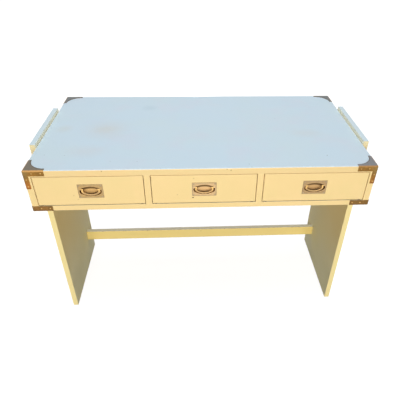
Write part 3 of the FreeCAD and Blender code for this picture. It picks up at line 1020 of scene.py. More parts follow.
class FastenerTree:
    """Geometry nodes that turn one fastener and set a copy on every point of a mesh."""

    segments = 24
    sides = 28
    seed = 7
    sharp_angle = math.radians(38)
    random_float = 1
    size_names = (
        "Head Diameter",
        "Rim Height",
        "Head Height",
        "Shank Diameter",
        "Shank Length",
        "Slot Width",
        "Slot Depth",
    )
    # The segments, counted from the tip, where the runs of a domed profile end.
    tip_end = 1
    shank_end = 8
    seat_end = 9
    rim_end = 11
    tip_share = 0.6
    crown_share = 0.97
    # The segments of a countersunk profile. Its point starts before the tip, so the tip is blunt.
    point_start = -1
    point_end = 4
    cone_start = 16
    slot_overrun_share = 1.5

    def __init__(self, head: Head) -> None:
        """Build the tree for one form of head.

        Args:
            head: The form of the head.
        """
        self.head = head
        self.tree = bpy.data.node_groups.new(f"{head.value}_fastener", "GeometryNodeTree")
        self.graph = Graph(self.tree)
        face = self.tree.interface
        face.new_socket("Geometry", in_out="INPUT", socket_type="NodeSocketGeometry")
        for size in self.size_names:
            face.new_socket(size, in_out="INPUT", socket_type=FLOAT)
        face.new_socket("Material", in_out="INPUT", socket_type="NodeSocketMaterial")
        face.new_socket("Geometry", in_out="OUTPUT", socket_type="NodeSocketGeometry")
        self.given = self.graph.node("NodeGroupInput").outputs
        self.wire()

    def part(self, along: Socket, start: int, end: int) -> Socket:
        """Return how far, from 0 to 1, a station of the profile lies between two of its segments."""
        ends = {"Value": along, "From Min": start / self.segments, "From Max": end / self.segments}
        return self.graph.node("ShaderNodeMapRange", ends, clamp=True).outputs["Result"]

    def radii(self) -> tuple[Socket, Socket]:
        """Return the radius of the head and that of the shank."""
        head, shank = self.given["Head Diameter"], self.given["Shank Diameter"]
        return self.graph.times(head, 0.5), self.graph.times(shank, 0.5)

    def domed_profile(self, along: Socket) -> tuple[Socket, Socket]:
        """Work out a domed fastener's radius and height at a station.

        Args:
            along: The station, from 0 at the tip to 1 at the crown.

        Returns:
            The radius and the height above the head's seat.
        """
        graph, given = self.graph, self.given
        wide, narrow = self.radii()
        rise = given["Head Height"]
        squares = graph.plus(graph.math("POWER", wide, 2.0), graph.math("POWER", rise, 2.0))
        ball = graph.over(squares, graph.times(rise, 2.0))
        half_angle = graph.math("ARCSINE", graph.over(wide, ball))
        climbed = graph.times(self.part(along, self.rim_end, self.segments), self.crown_share)
        angle = graph.times(half_angle, graph.minus(1.0, climbed))
        tip = self.part(along, 0, self.tip_end)
        shank = graph.times(narrow, graph.math("MULTIPLY_ADD", tip, 1 - self.tip_share, self.tip_share))
        flare = graph.times(graph.minus(wide, narrow), self.part(along, self.shank_end, self.seat_end))
        crown = graph.over(graph.math("SINE", angle), graph.math("SINE", half_angle))
        radius = graph.times(graph.plus(shank, flare), crown)
        below = graph.minus(self.part(along, 0, self.shank_end), 1.0)
        sunk = graph.times(given["Shank Length"], below)
        rim = graph.times(given["Rim Height"], self.part(along, self.seat_end, self.rim_end))
        bulge = graph.minus(graph.math("COSINE", angle), graph.math("COSINE", half_angle))
        return radius, graph.plus(graph.plus(sunk, rim), graph.times(ball, bulge))

    def countersunk_profile(self, along: Socket) -> tuple[Socket, Socket]:
        """Work out a countersunk screw's radius and height at a station.

        Args:
            along: The station, from 0 at the tip to 1 at the crown.

        Returns:
            The radius and the height above the head's face.
        """
        graph, given = self.graph, self.given
        wide, narrow = self.radii()
        cone = self.part(along, self.cone_start, self.segments)
        tip = graph.times(narrow, self.part(along, self.point_start, self.point_end))
        radius = graph.plus(tip, graph.times(graph.minus(wide, narrow), cone))
        below = graph.minus(self.part(along, 0, self.cone_start), 1.0)
        shank = graph.times(given["Shank Length"], below)
        head = graph.times(given["Head Height"], graph.minus(cone, 1.0))
        return radius, graph.plus(shank, head)

    def turned(self) -> Socket:
        """Turn one fastener from a cylinder.

        Returns:
            Its mesh, with its slot.
        """
        graph = self.graph
        counts = {"Vertices": self.sides, "Side Segments": self.segments, "Radius": 1.0, "Depth": 1.0}
        blank = graph.node("GeometryNodeMeshCylinder", counts, fill_type="NGON").outputs["Mesh"]
        place = graph.split(graph.node("GeometryNodeInputPosition").outputs[0])
        along = graph.plus(place["Z"], 0.5)
        profile = self.domed_profile if self.head is Head.DOMED else self.countersunk_profile
        radius, height = profile(along)
        spot = graph.join(X=graph.times(place["X"], radius), Y=graph.times(place["Y"], radius), Z=height)
        shaped = graph.node("GeometryNodeSetPosition", {"Geometry": blank, "Position": spot})
        return self.slotted(shaped.outputs[0])

    def slotted(self, turned: Socket) -> Socket:
        """Cut the driver's slot across a head.

        Args:
            turned: The fastener without its slot.

        Returns:
            The fastener with its slot, or as it was where the slot has no width.
        """
        graph, given = self.graph, self.given
        crown = graph.plus(given["Rim Height"], given["Head Height"])
        size = graph.join(
            X=graph.times(given["Head Diameter"], self.slot_overrun_share),
            Y=given["Slot Width"],
            Z=graph.times(given["Slot Depth"], 2.0),
        )
        cutter = graph.node("GeometryNodeMeshCube", {"Size": size}).outputs["Mesh"]
        lift = graph.join(Z=crown if self.head is Head.DOMED else 0.0)
        lifted = graph.node("GeometryNodeTransform", {"Geometry": cutter, "Translation": lift}).outputs[0]
        solids = {0: turned, 1: lifted}
        cut = graph.node("GeometryNodeMeshBoolean", solids, operation="DIFFERENCE", solver="EXACT")
        wanted = graph.math("GREATER_THAN", given["Slot Width"], 0.0)
        choice = {"Switch": wanted, "False": turned, "True": cut.outputs["Mesh"]}
        return graph.node("GeometryNodeSwitch", choice, input_type="GEOMETRY").outputs[0]

    def wire(self) -> None:
        """Set the fastener on the points, each turned its own way, and dress the result."""
        graph, given = self.graph, self.given
        way = graph.node("GeometryNodeInputNamedAttribute", {"Name": "way"}, data_type="FLOAT_VECTOR")
        aim = graph.node("FunctionNodeAlignRotationToVector", {"Vector": way.outputs[0]}, axis="Z")
        draw = graph.node("FunctionNodeRandomValue", {"Seed": self.seed}, data_type="FLOAT")
        angle = graph.times(draw.outputs[self.random_float], math.pi)
        turn = graph.node("FunctionNodeAxisAngleToRotation", {"Axis": UP, "Angle": angle})
        turns = {"Rotation": aim.outputs[0], "Rotate By": turn.outputs[0]}
        spun = graph.node("FunctionNodeRotateRotation", turns, rotation_space="LOCAL").outputs[0]
        points = graph.node("GeometryNodeMeshToPoints", {"Mesh": given["Geometry"]}).outputs[0]
        copies = {"Points": points, "Instance": self.turned(), "Rotation": spun}
        rows = graph.node("GeometryNodeInstanceOnPoints", copies).outputs[0]
        real = graph.node("GeometryNodeRealizeInstances", {0: rows}).outputs[0]
        smooth = graph.node("GeometryNodeSetShadeSmooth", {"Geometry": real}).outputs[0]
        coat = {"Geometry": smooth, "Material": given["Material"]}
        graph.node("NodeGroupOutput", {0: graph.node("GeometryNodeSetMaterial", coat).outputs[0]})

    def carrier(self, spots: Spots) -> bpy.types.Object:
        """Make a mesh of bare points with a direction each.

        Args:
            spots: The seat and the direction of every fastener.

        Returns:
            The object that holds the points.
        """
        mesh = bpy.data.meshes.new("fastener_points")
        mesh.from_pydata([seat for seat, _ in spots], [], [])
        ways = mesh.attributes.new("way", "FLOAT_VECTOR", "POINT")
        ways.data.foreach_set("vector", [part for _, way in spots for part in way])
        carrier = bpy.data.objects.new("fastener_points", mesh)
        bpy.context.scene.collection.objects.link(carrier)
        return carrier

    def make(self, name: str, spots: Spots, sizes: dict[str, float], finish: Finish) -> bpy.types.Object:
        """Make one set of fasteners as a plain mesh.

        Args:
            name: The new piece's name.
            spots: The seat and the direction of every fastener.
            sizes: The tree's named sizes.
            finish: What the set is dressed in.

        Returns:
            The new piece.
        """
        carrier = self.carrier(spots)
        modifier = carrier.modifiers.new("fasteners", "NODES")
        modifier.node_group = self.tree
        items = [item for item in self.tree.interface.items_tree if item.in_out == "INPUT"]
        labels = {item.name: item.identifier for item in items}
        for label, value in {**sizes, "Material": finish.material(name)}.items():
            modifier[labels[label]] = value
        shown = carrier.evaluated_get(bpy.context.evaluated_depsgraph_get())
        mesh = bpy.data.meshes.new_from_object(shown)
        mesh.name = name
        mesh.set_sharp_from_angle(angle=self.sharp_angle)
        carrier.modifiers.remove(modifier)
        bpy.data.objects.remove(carrier)
        piece = bpy.data.objects.new(name, mesh)
        bpy.context.scene.collection.objects.link(piece)
        return piece


@dataclass(frozen=True)
class FastenerSet:
    """The fasteners that stand for one CAD node, sized and placed by its solids."""

    node: str
    name: str
    finish: Finish
    head: Head
    heading: Heading
    shank_diameter: float
    rim_height: float
    head_height: float
    slot_width: float = 0.0
    slot_depth: float = 0.0

    def way(self, low: Vector, high: Vector) -> Vector:
        """Find the way that a fastener's head looks.

        Args:
            low: The lowest corner of its solid.
            high: The highest corner.

        Returns:
            A unit vector along an axis of the desk.
        """
        if self.heading is Heading.UP:
            return Vector(UP)
        sizes = high - low
        axis = max(range(3), key=lambda index: sizes[index])
        sign = math.copysign(1.0, low[axis] + high[axis])
        way = Vector(ORIGIN)
        way[axis] = sign if self.heading is Heading.OUTWARD else -sign
        return way

    def build(self, trees: dict[Head, FastenerTree]) -> None:
        """Make the set and put it in the node's place.

        Args:
            trees: What makes the meshes, for each form of head.
        """
        domed = self.head is Head.DOMED
        above = self.rim_height + self.head_height if domed else 0.0
        boxes = solid_boxes(self.node)
        spots = []
        for low, high in boxes:
            way = self.way(low, high)
            reach = abs((high - low).dot(way)) / 2
            spots.append(((low + high) / 2 + way * (reach - above), way))
        size = boxes[0][1] - boxes[0][0]
        way = spots[0][1]
        sizes = {
            "Head Diameter": max(size[axis] for axis in range(3) if not way[axis]),
            "Rim Height": self.rim_height,
            "Head Height": self.head_height,
            "Shank Diameter": self.shank_diameter,
            "Shank Length": abs(size.dot(way)) - (above if domed else self.head_height),
            "Slot Width": self.slot_width,
            "Slot Depth": self.slot_depth,
        }
        piece = trees[self.head].make(self.name, spots, sizes, self.finish)
        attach(piece, body_of(self.node))
        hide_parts(self.node)
        slot_of(self.node)
        log.info("built %s: %d fasteners", self.name, len(spots))


BRACKET_PINS = FastenerSet(
    "bracket_pins",
    "domed_bracket_pins",
    PIN_BRASS,
    Head.DOMED,
    Heading.OUTWARD,
    shank_diameter=1.4 * MILLIMETRE,
    rim_height=0.1 * MILLIMETRE,
    head_height=0.8 * MILLIMETRE,
)
RAIL_SCREWS = FastenerSet(
    "rail_screws",
    "slotted_rail_screws",
    STEEL,
    Head.COUNTERSUNK,
    Heading.INWARD,
    shank_diameter=4.0 * MILLIMETRE,
    rim_height=0.0,
    head_height=3.2 * MILLIMETRE,
    slot_width=1.1 * MILLIMETRE,
    slot_depth=1.3 * MILLIMETRE,
)
CLEAT_SCREWS = replace(RAIL_SCREWS, node="cleat_screws", name="slotted_cleat_screws")
GLIDE_TACKS = FastenerSet(
    "glide_tacks",
    "domed_glide_tacks",
    TACK_NYLON,
    Head.DOMED,
    Heading.UP,
    shank_diameter=2.4 * MILLIMETRE,
    rim_height=1.5 * MILLIMETRE,
    head_height=0.7 * MILLIMETRE,
)
FLOOR_GLIDES = FastenerSet(
    "floor_glides",
    "nailed_floor_glides",
    FOOT_NYLON,
    Head.DOMED,
    Heading.INWARD,
    shank_diameter=2.4 * MILLIMETRE,
    rim_height=2.2 * MILLIMETRE,
    head_height=0.8 * MILLIMETRE,
)


@dataclass
class Case:
    """The boards of the case and its carry rails, with the marks on the desktop and its front edge."""

    # Paler edges of the case boards and rails: edge wear and a painted highlight.
    edge_wear_and_highlight: Tone = Tone(255, 232, 178, share=0.5)
    rail_edge_wear_and_highlight: Tone = Tone(214, 228, 235, share=0.3)
    # Painted light: the rails' inner and front faces paler than the same lacquer elsewhere.
    lit_rail_inner_face: Tone = Tone(249, 245, 219, share=0.9)
    lit_rail_front: Tone = Tone(239, 226, 180, share=0.9)
    # Painted sky reflection on the rails' tops.
    rail_top_sky_reflection: Tone = Tone(213, 231, 237, share=0.6)
    # A greyer, cooler tone on the up-facing faces of the case bottom.
    grey_up_strip: Tone = Tone(216, 208, 176, share=0.8)
    rim: Tone = Tone(222, 233, 236, share=0.6)
    rim_start: float = 22.0 * MILLIMETRE
    rim_soft: float = 20.0 * MILLIMETRE
    rim_width: float = 6.0 * MILLIMETRE
    rim_ragged: float = 2.0 * MILLIMETRE
    stains: tuple[tuple[Tone, tuple[float, float], tuple[float, float]], ...] = (
        (Tone(210, 212, 214, share=0.42), (-0.355, -0.015), (0.12, 0.11)),
        (Tone(206, 207, 196, share=0.24), (-0.362, -0.015), (0.06, 0.045)),
        (Tone(206, 207, 196, share=0.24), (-0.515, -0.008), (0.045, 0.045)),
        (Tone(210, 212, 214, share=0.3), (-0.4, -0.18), (0.1, 0.06)),
        (Tone(186, 212, 226, share=0.5), (-0.21, 0.179), (0.05, 0.04)),
        (Tone(210, 212, 214, share=0.3), (0.39, -0.06), (0.09, 0.05)),
    )
    stain_depth: float = 20.0 * MILLIMETRE
    stain_soft: float = 0.95
    mark_reach: Triple = (2.6 * MILLIMETRE, 2.6 * MILLIMETRE, 2.6 * MILLIMETRE)
    dot: Tone = Tone(132, 144, 146)
    dots: tuple[Triple, ...] = (
        (0.424, -0.227, 0.9),
        (0.149, -0.277, 0.5),
        (0.155, -0.296, 0.5),
        (-0.533, -0.201, 0.35),
        (-0.466, -0.206, 0.35),
        (-0.22, -0.252, 0.35),
        (-0.308, -0.249, 0.3),
        (0.294, 0.068, 0.3),
    )
    nick: Tone = Tone(120, 98, 58)
    nicks: tuple[Triple, ...] = ((0.087, 0.762, 0.7), (-0.328, 0.765, 0.6), (0.074, 0.766, 0.5))

    def desktop_layers(self) -> tuple[Layer, ...]:
        """Lay the rim, the stains and the small marks on the desktop, and leave its underside bare.

        Returns:
            The layers.
        """
        low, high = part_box("desktop")
        behind = Past(self.rim, start=low.y + self.rim_start, soft=self.rim_soft)
        rim = EdgeBand(self.rim, behind, node="desktop", width=self.rim_width, ragged=self.rim_ragged)
        stains = [
            Spot(tone, middle=(*place, high.z), reach=(*reach, self.stain_depth), soft=self.stain_soft)
            for tone, place, reach in self.stains
        ]
        dots = marks(self.dot, self.mark_reach, [(x, y, high.z, share) for x, y, share in self.dots])
        nicks = marks(self.nick, self.mark_reach, [(x, low.y, z, share) for x, z, share in self.nicks])
        return (rim, *stains, *dots, *nicks, *raw_inside(DOWN, Along.X))

    def dress(self) -> None:
        """Dress the boards."""
        dress("desktop", TOP_LACQUER, self.desktop_layers())
        for node, layers in {
            "case_bottom": (Facing(self.grey_up_strip), *raw_inside(UP, Along.X)),
            "case_back": raw_inside(AHEAD, Along.X),
            "left_end_panel": raw_inside(RIGHT, Along.Y),
            "right_end_panel": raw_inside(LEFT, Along.Y),
            "left_partition": raw_inside(RIGHT, Along.Y) + raw_inside(LEFT, Along.Y),
            "right_partition": raw_inside(RIGHT, Along.Y) + raw_inside(LEFT, Along.Y),
        }.items():
            dress(node, LACQUER, (EdgeBand(self.edge_wear_and_highlight, node=node), *layers))
        for side in Side:
            rail = f"{side.value}_carry_rail"
            layers = (
                EdgeBand(self.rail_edge_wear_and_highlight, node=rail),
                # Painted light on the rail's inner and front faces, painted sky reflection on its top.
                Facing(self.lit_rail_inner_face, way=RIGHT if side is Side.LEFT else LEFT),
                Facing(self.lit_rail_front, way=AHEAD),
                replace(TOP_SKY_REFLECTION, tone=self.rail_top_sky_reflection),
            )
            dress(rail, RAIL_LACQUER, layers)
        dress("dowels", DOWEL_BEECH.along(Along.Z))


@dataclass
class Stand:
    """The legs, their cleats and the stretcher."""

    # Paler edges of the legs: edge wear and a painted highlight.
    edge_wear_and_highlight: Tone = Tone(250, 228, 168, share=0.5)
    # Painted light: the legs' front faces lighter and warmer.
    lit_leg_front: Tone = Tone(255, 236, 164, share=0.8)
    leg_inside: Tone = Tone(245, 220, 150)
    # Painted reflected light: a paler, greener tone slowly down the legs' inner faces towards the floor.
    foot: Tone = Tone(235, 231, 190, share=0.9)
    foot_height: float = 500.0 * MILLIMETRE
    foot_soft: float = 450.0 * MILLIMETRE
    # Painted light on the stretcher: a warmer, lighter front face, and a paler, greyer top that is painted
    # skylight with a dusty film.
    lit_stretcher_front: Tone = Tone(255, 228, 138, share=0.8)
    dust_and_skylight: Tone = Tone(242, 244, 228, share=0.9)
    chipped_edge: Tone = Tone(150, 120, 66, share=0.45)
    chip_ragged: float = 6.4 * MILLIMETRE
    nick_reach: Triple = (3.0 * MILLIMETRE, 3.0 * MILLIMETRE, 3.0 * MILLIMETRE)
    nicks: tuple[Triple, ...] = ((-0.263, 0.162, 0.7), (-0.003, 0.152, 0.5), (0.113, 0.162, 0.5))

    def leg_layers(self, side: Side) -> tuple[Layer, ...]:
        """Lighten the edges of a leg with edge wear and a painted highlight, lighten its front faces with
        painted light, and paint reflected light in a tone that changes slowly down its inner face.

        Args:
            side: The leg's end of the desk.

        Returns:
            The layers.
        """
        inside = Facing(self.leg_inside, way=RIGHT if side is Side.LEFT else LEFT)
        return (
            # Painted light on the front faces, and painted reflected light down the inner faces.
            Facing(self.lit_leg_front, way=AHEAD),
            inside,
            Past(self.foot, inside, way=DOWN, start=-self.foot_height, soft=self.foot_soft),
            EdgeBand(self.edge_wear_and_highlight, node=f"{side.value}_leg_panel"),
        )

    def dress(self) -> None:
        """Dress the boards of the stand."""
        for side in Side:
            dress(f"{side.value}_leg_panel", LEG_LACQUER, self.leg_layers(side))
            dress(f"{side.value}_leg_cleat", BARE_WOOD.along(Along.Y))
        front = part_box("stretcher")[0].y
        nicks = [(x, front, z, share) for x, z, share in self.nicks]
        layers = (
            # Painted light on the front face; painted skylight and a dusty film on the top.
            Facing(self.lit_stretcher_front, way=AHEAD),
            Facing(self.dust_and_skylight),
            EdgeBand(self.chipped_edge, node="stretcher", ragged=self.chip_ragged),
            *marks(self.chipped_edge, self.nick_reach, nicks),
        )
        dress("stretcher", LACQUER, layers)


@dataclass
class CornerBrass:
    """The brackets and straps at the corners of the case."""

    olive: Tone = Tone(134, 112, 68, share=0.7)
    olive_reach: Triple = (30.0 * MILLIMETRE, 30.0 * MILLIMETRE, 50.0 * MILLIMETRE)
    olive_soft: float = 0.8
    orange: Tone = Tone(178, 110, 44, share=0.65)
    dull_orange: Tone = Tone(178, 110, 44, share=0.35)
    orange_height: float = 42.0 * MILLIMETRE
    orange_soft: float = 30.0 * MILLIMETRE
    tip: Tone = Tone(120, 66, 34, share=0.5)
    tip_height: float = 7.0 * MILLIMETRE
    tip_soft: float = 6.0 * MILLIMETRE
    # Painted highlight along the bracket's rounded edges, duller on the front right bracket.
    bend_highlight: Tone = Tone(182, 138, 82, share=0.85)
    dull_bend_highlight: Tone = Tone(152, 113, 66, share=0.85)
    bend_start: float = 0.72
    bend_end: float = 0.9
    leaf_rim: Tone = Tone(72, 64, 58, share=0.85)
    leaf_reach: float = 55.0 * MILLIMETRE
    leaf_rim_width: float = 4.0 * MILLIMETRE
    # Painted dark reflection on each bracket's top leaf, its tone set for each corner.
    leaf_reflections: dict[Corner, Tone] = field(
        default_factory=lambda: {
            Corner.FRONT_LEFT: Tone(112, 104, 91),
            Corner.FRONT_RIGHT: Tone(120, 120, 122),
            Corner.BACK_LEFT: Tone(108, 112, 112),
            Corner.BACK_RIGHT: Tone(108, 112, 112),
        }
    )
    strap: Tone = Tone(122, 90, 46)
    strap_patch: Tone = Tone(146, 104, 54, share=0.8)
    strap_patch_scale: float = 45.0

    def bracket_layers(self, corner: Corner) -> tuple[Layer, ...]:
        """Colour a bracket: a painted highlight along its bends, a painted dark reflection on its top leaf
        and the worn end of its upright.

        Args:
            corner: Where the bracket sits.

        Returns:
            The layers.
        """
        low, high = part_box(f"{corner.value}_top_bracket")
        across = math.copysign(1.0, low.x + high.x)
        along = math.copysign(1.0, low.y + high.y)
        outer = (high.x if across > 0 else low.x, high.y if along > 0 else low.y, high.z)
        inner = (low.x if across > 0 else high.x, low.y if along > 0 else high.y, high.z)
        slant = math.sqrt(0.5)
        dull = corner is Corner.FRONT_RIGHT
        worn = self.dull_orange if dull else self.orange
        bend_highlight = Facing(self.dull_bend_highlight if dull else self.bend_highlight, start=self.bend_start, end=self.bend_end)
        # Painted dark reflection on the top leaf.
        leaf = Facing(self.leaf_reflections[corner])
        return (
            Spot(self.olive, middle=outer, reach=self.olive_reach, soft=self.olive_soft),
            Past(worn, way=DOWN, start=-low.z - self.orange_height, soft=self.orange_soft),
            Past(self.tip, way=DOWN, start=-low.z - self.tip_height, soft=self.tip_soft),
            leaf,
            Ring(self.leaf_rim, leaf, middle=inner, radius=self.leaf_reach, width=self.leaf_rim_width),
            replace(bend_highlight, way=(0.0, along * slant, slant)),
            replace(bend_highlight, way=(across * slant, 0.0, slant)),
        )

    def dress(self) -> None:
        """Dress the brackets and straps."""
        patches = (Wash(self.strap), Clouds(self.strap_patch, scale=self.strap_patch_scale))
        for corner in Corner:
            dress(f"{corner.value}_top_bracket", BRACKET_BRASS, self.bracket_layers(corner))
            dress(f"{corner.value}_bottom_strap", BRACKET_BRASS, patches)


@dataclass
class Drawer:
    """One drawer box and what it runs on."""

    bay: Bay
    # Paler edges of the drawer front: edge wear and a painted highlight.
    edge_wear_and_highlight: Tone = Tone(255, 233, 180, share=0.55)
    edge_width: float = 1.4 * MILLIMETRE
    edge_ragged: float = 2.4 * MILLIMETRE
    lacquer_turn: float = 16.0 * MILLIMETRE
    turn_soft: float = 2.0 * MILLIMETRE
    nick: Tone = Tone(96, 70, 30)
    nick_reach: Triple = (3.6 * MILLIMETRE, 3.6 * MILLIMETRE, 3.2 * MILLIMETRE)
    nicks: dict[Bay, tuple[Triple, ...]] = field(
        default_factory=lambda: {
            Bay.LEFT: ((-0.419, 0.657, 0.2), (-0.431, 0.673, 0.15)),
            Bay.MIDDLE: ((-0.038, 0.656, 1.0), (-0.035, 0.733, 0.2), (-0.09, 0.669, 0.2)),
            Bay.RIGHT: (),
        }
    )
    scuff: Tone = Tone(112, 86, 50, share=0.8)
    scuff_reach: Triple = (8.0 * MILLIMETRE, 4.0 * MILLIMETRE, 2.2 * MILLIMETRE)
    scuffs: dict[Bay, tuple[float, ...]] = field(
        default_factory=lambda: {Bay.LEFT: (-0.21,), Bay.MIDDLE: (0.162,), Bay.RIGHT: (0.206, 0.539)}
    )

    def node(self, name: str) -> str:
        """Return the full name of one of the drawer's nodes."""
        return f"{self.bay.value}_{name}"

    def front_layers(self) -> tuple[Layer, ...]:
        """Lighten the edges of the drawer's front with edge wear and a painted highlight, mark it and
        scuff its foot, and leave its back bare.

        Returns:
            The layers.
        """
        node = self.node("drawer_front")
        low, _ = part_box(node)
        places = [(x, low.y, z, share) for x, z, share in self.nicks[self.bay]]
        nicks = marks(self.nick, self.nick_reach, places)
        feet = [(x, low.y, low.z) for x in self.scuffs[self.bay]]
        scuffs = [Spot(self.scuff, middle=foot, reach=self.scuff_reach) for foot in feet]
        raw = Past(RAW_WOOD, start=low.y + self.lacquer_turn, soft=self.turn_soft)
        edge = EdgeBand(self.edge_wear_and_highlight, node=node, width=self.edge_width, ragged=self.edge_ragged)
        return (edge, *nicks, *scuffs, raw, Streaks(RAW_STREAK, raw, along=Along.X))

    def dress(self) -> None:
        """Dress the drawer and its guide."""
        dress(self.node("drawer_front"), LACQUER, self.front_layers())
        for name, finish in {
            "drawer_left_side": DRAWER_WOOD.along(Along.Y),
            "drawer_right_side": DRAWER_WOOD.along(Along.Y),
            "drawer_back": DRAWER_WOOD.along(Along.X),
            "drawer_bottom": HARDBOARD,
            "drawer_shoe": SHOE_NYLON,
            "drawer_guide": BARE_WOOD.along(Along.Y),
        }.items():
            dress(self.node(name), finish)


@dataclass
class Pull:
    """One brass pull: plate, bail and screws."""

    bay: Bay
    ring: Tone = Tone(192, 157, 112, share=0.7)
    ring_reach: Triple = (40.0 * MILLIMETRE, 40.0 * MILLIMETRE, 23.0 * MILLIMETRE)
    ring_soft: float = 0.15
    floor: Tone = Tone(205, 163, 106, share=0.9)
    casts: dict[Bay, Tone] = field(
        default_factory=lambda: {
            Bay.LEFT: Tone(192, 160, 80, share=0.2),
            Bay.MIDDLE: Tone(255, 222, 168, share=0.2),
            Bay.RIGHT: Tone(132, 108, 76, share=0.2),
        }
    )
    # Painted shade along the plate's bevelled edges.
    painted_edge_shade: Tone = Tone(150, 131, 103, share=0.7)
    grey_edge_width: float = 5.0 * MILLIMETRE
    # Painted shade on the dish's upper and side walls, painted shadow of the bail along its lower lip, and
    # painted shadow of its upper rim, dropped by the rim's shadow length.
    wall: Tone = Tone(118, 82, 44, share=0.8)
    sill: Tone = Tone(108, 98, 80, share=0.85)
    brow: Tone = Tone(84, 60, 26, share=0.9)
    rim_shadow_drop: Triple = (0.0, 0.0, 13.2 * MILLIMETRE)
    dish_reach: Triple = (36.0 * MILLIMETRE, 1.0, 19.0 * MILLIMETRE)
    dish_depth: float = 10.0 * MILLIMETRE
    dish_below_middle: float = 0.8 * MILLIMETRE
    lug_height: float = 0.4 * MILLIMETRE
    # Painted highlight on the bail's eyes, fading downwards.
    eye_highlight: Tone = Tone(232, 190, 116, share=0.9)
    eye_reach: float = 17.0 * MILLIMETRE
    eye_soft: float = 9.0 * MILLIMETRE

    def plate_layers(self) -> tuple[Layer, ...]:
        """Tone the plate's dish and paint shade and shadows into it, paint shade along the plate's edges
        and give the whole plate the cast of its bay.

        Returns:
            The layers.
        """
        node = f"{self.bay.value}_pull_plate"
        low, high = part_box(node)
        middle = (low + high) / 2
        height = middle.z - self.dish_below_middle
        dish = Dished(
            self.floor,
            zone="Dish",
            middle=(middle.x, 0.0, height),
            reach=self.dish_reach,
            drop=self.rim_shadow_drop,
            face=low.y + self.lug_height,
            depth=self.dish_depth,
        )
        edge = self.grey_edge_width
        return (
            Spot(self.ring, middle=(middle.x, low.y, height), reach=self.ring_reach, soft=self.ring_soft),
            dish,
            Wash(self.casts[self.bay]),
            # Painted shade along the plate's edges.
            EdgeBand(self.painted_edge_shade, node=node, width=edge, ragged=edge),
            # Painted shade and painted shadows in the dish.
            replace(dish, tone=self.wall, zone="Wall"),
            replace(dish, tone=self.sill, zone="Sill"),
            replace(dish, tone=self.brow, zone="Brow"),
        )

    def build(self, trees: dict[Head, FastenerTree]) -> None:
        """Make the plate's four screws.

        Args:
            trees: What makes the meshes, for each form of head.
        """
        FastenerSet(
            f"{self.bay.value}_pull_screws",
            f"{self.bay.value}_pull_slotted_screws",
            PULL_SCREW_BRASS,
            Head.DOMED,
            Heading.OUTWARD,
            shank_diameter=2.6 * MILLIMETRE,
            rim_height=0.15 * MILLIMETRE,
            head_height=0.85 * MILLIMETRE,
            slot_width=0.7 * MILLIMETRE,
            slot_depth=0.5 * MILLIMETRE,
        ).build(trees)

    def dress(self) -> None:
        """Dress the plate, and the bail with its bright eyes."""
        dress(f"{self.bay.value}_pull_plate", PULL_BRASS, self.plate_layers())
        bail = f"{self.bay.value}_pull_bail"
        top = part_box(bail)[1].z
        dress(bail, BAIL_BRASS, (Past(self.eye_highlight, way=UP, start=top - self.eye_reach, soft=self.eye_soft),))


@dataclass
class Hardware:
    """The pins, screws, tacks, glides and stops of the case and the stand."""

    sets: tuple[FastenerSet, ...] = (BRACKET_PINS, RAIL_SCREWS, CLEAT_SCREWS, GLIDE_TACKS, FLOOR_GLIDES)

    def build(self, trees: dict[Head, FastenerTree]) -> None:
        """Make every set."""
        for fasteners in self.sets:
            fasteners.build(trees)

    def dress(self) -> None:
        """Dress the stops."""
        dress("drawer_stops", BARE_WOOD.along(Along.X))


@dataclass
class PhotoCamera:
    """The camera at the place and with the framing of the reference view."""

    place: Triple = (-0.0366, -1.4188, 1.4666)
    yaw: float = math.radians(3.916)
    pitch: float = math.radians(35.557)
    roll: float = math.radians(1.246)
    focal_pixels: float = 407.55
    image_pixels: float = 400.0
    middle_pixel: tuple[float, float] = (216.09, 194.55)
    sensor: float = 36.0

    def build(self) -> None:
        """Make the camera and set it as the scene's."""
        data = bpy.data.cameras.new("photo_camera")
        data.sensor_width = self.sensor
        data.lens = self.sensor * self.focal_pixels / self.image_pixels
        data.shift_x = 0.5 - self.middle_pixel[0] / self.image_pixels
        data.shift_y = self.middle_pixel[1] / self.image_pixels - 0.5
        level = math.cos(self.pitch)
        ahead = Vector((math.sin(self.yaw) * level, math.cos(self.yaw) * level, -math.sin(self.pitch)))
        right = Vector((math.cos(self.yaw), -math.sin(self.yaw), 0.0))
        right = Matrix.Rotation(-self.roll, 3, ahead) @ right
        pose = Matrix((right, right.cross(ahead), -ahead)).transposed().to_4x4()
        pose.translation = self.place
        camera = bpy.data.objects.new("photo_camera", data)
        camera.matrix_world = pose
        bpy.context.scene.collection.objects.link(camera)
        bpy.context.scene.camera = camera


@dataclass(frozen=True)
class Lamp:
    """A soft square lamp that looks at the desk."""

    name: str
    place: Triple
    aim: Triple
    size: float
    power: float

    def build(self) -> None:
        """Make the lamp."""
        data = bpy.data.lights.new(self.name, "AREA")
        data.size = self.size
        data.energy = self.power
        lamp = bpy.data.objects.new(self.name, data)
        lamp.location = self.place
        lamp.rotation_euler = (Vector(self.aim) - Vector(self.place)).to_track_quat("-Z", "Y").to_euler()
        bpy.context.scene.collection.objects.link(lamp)


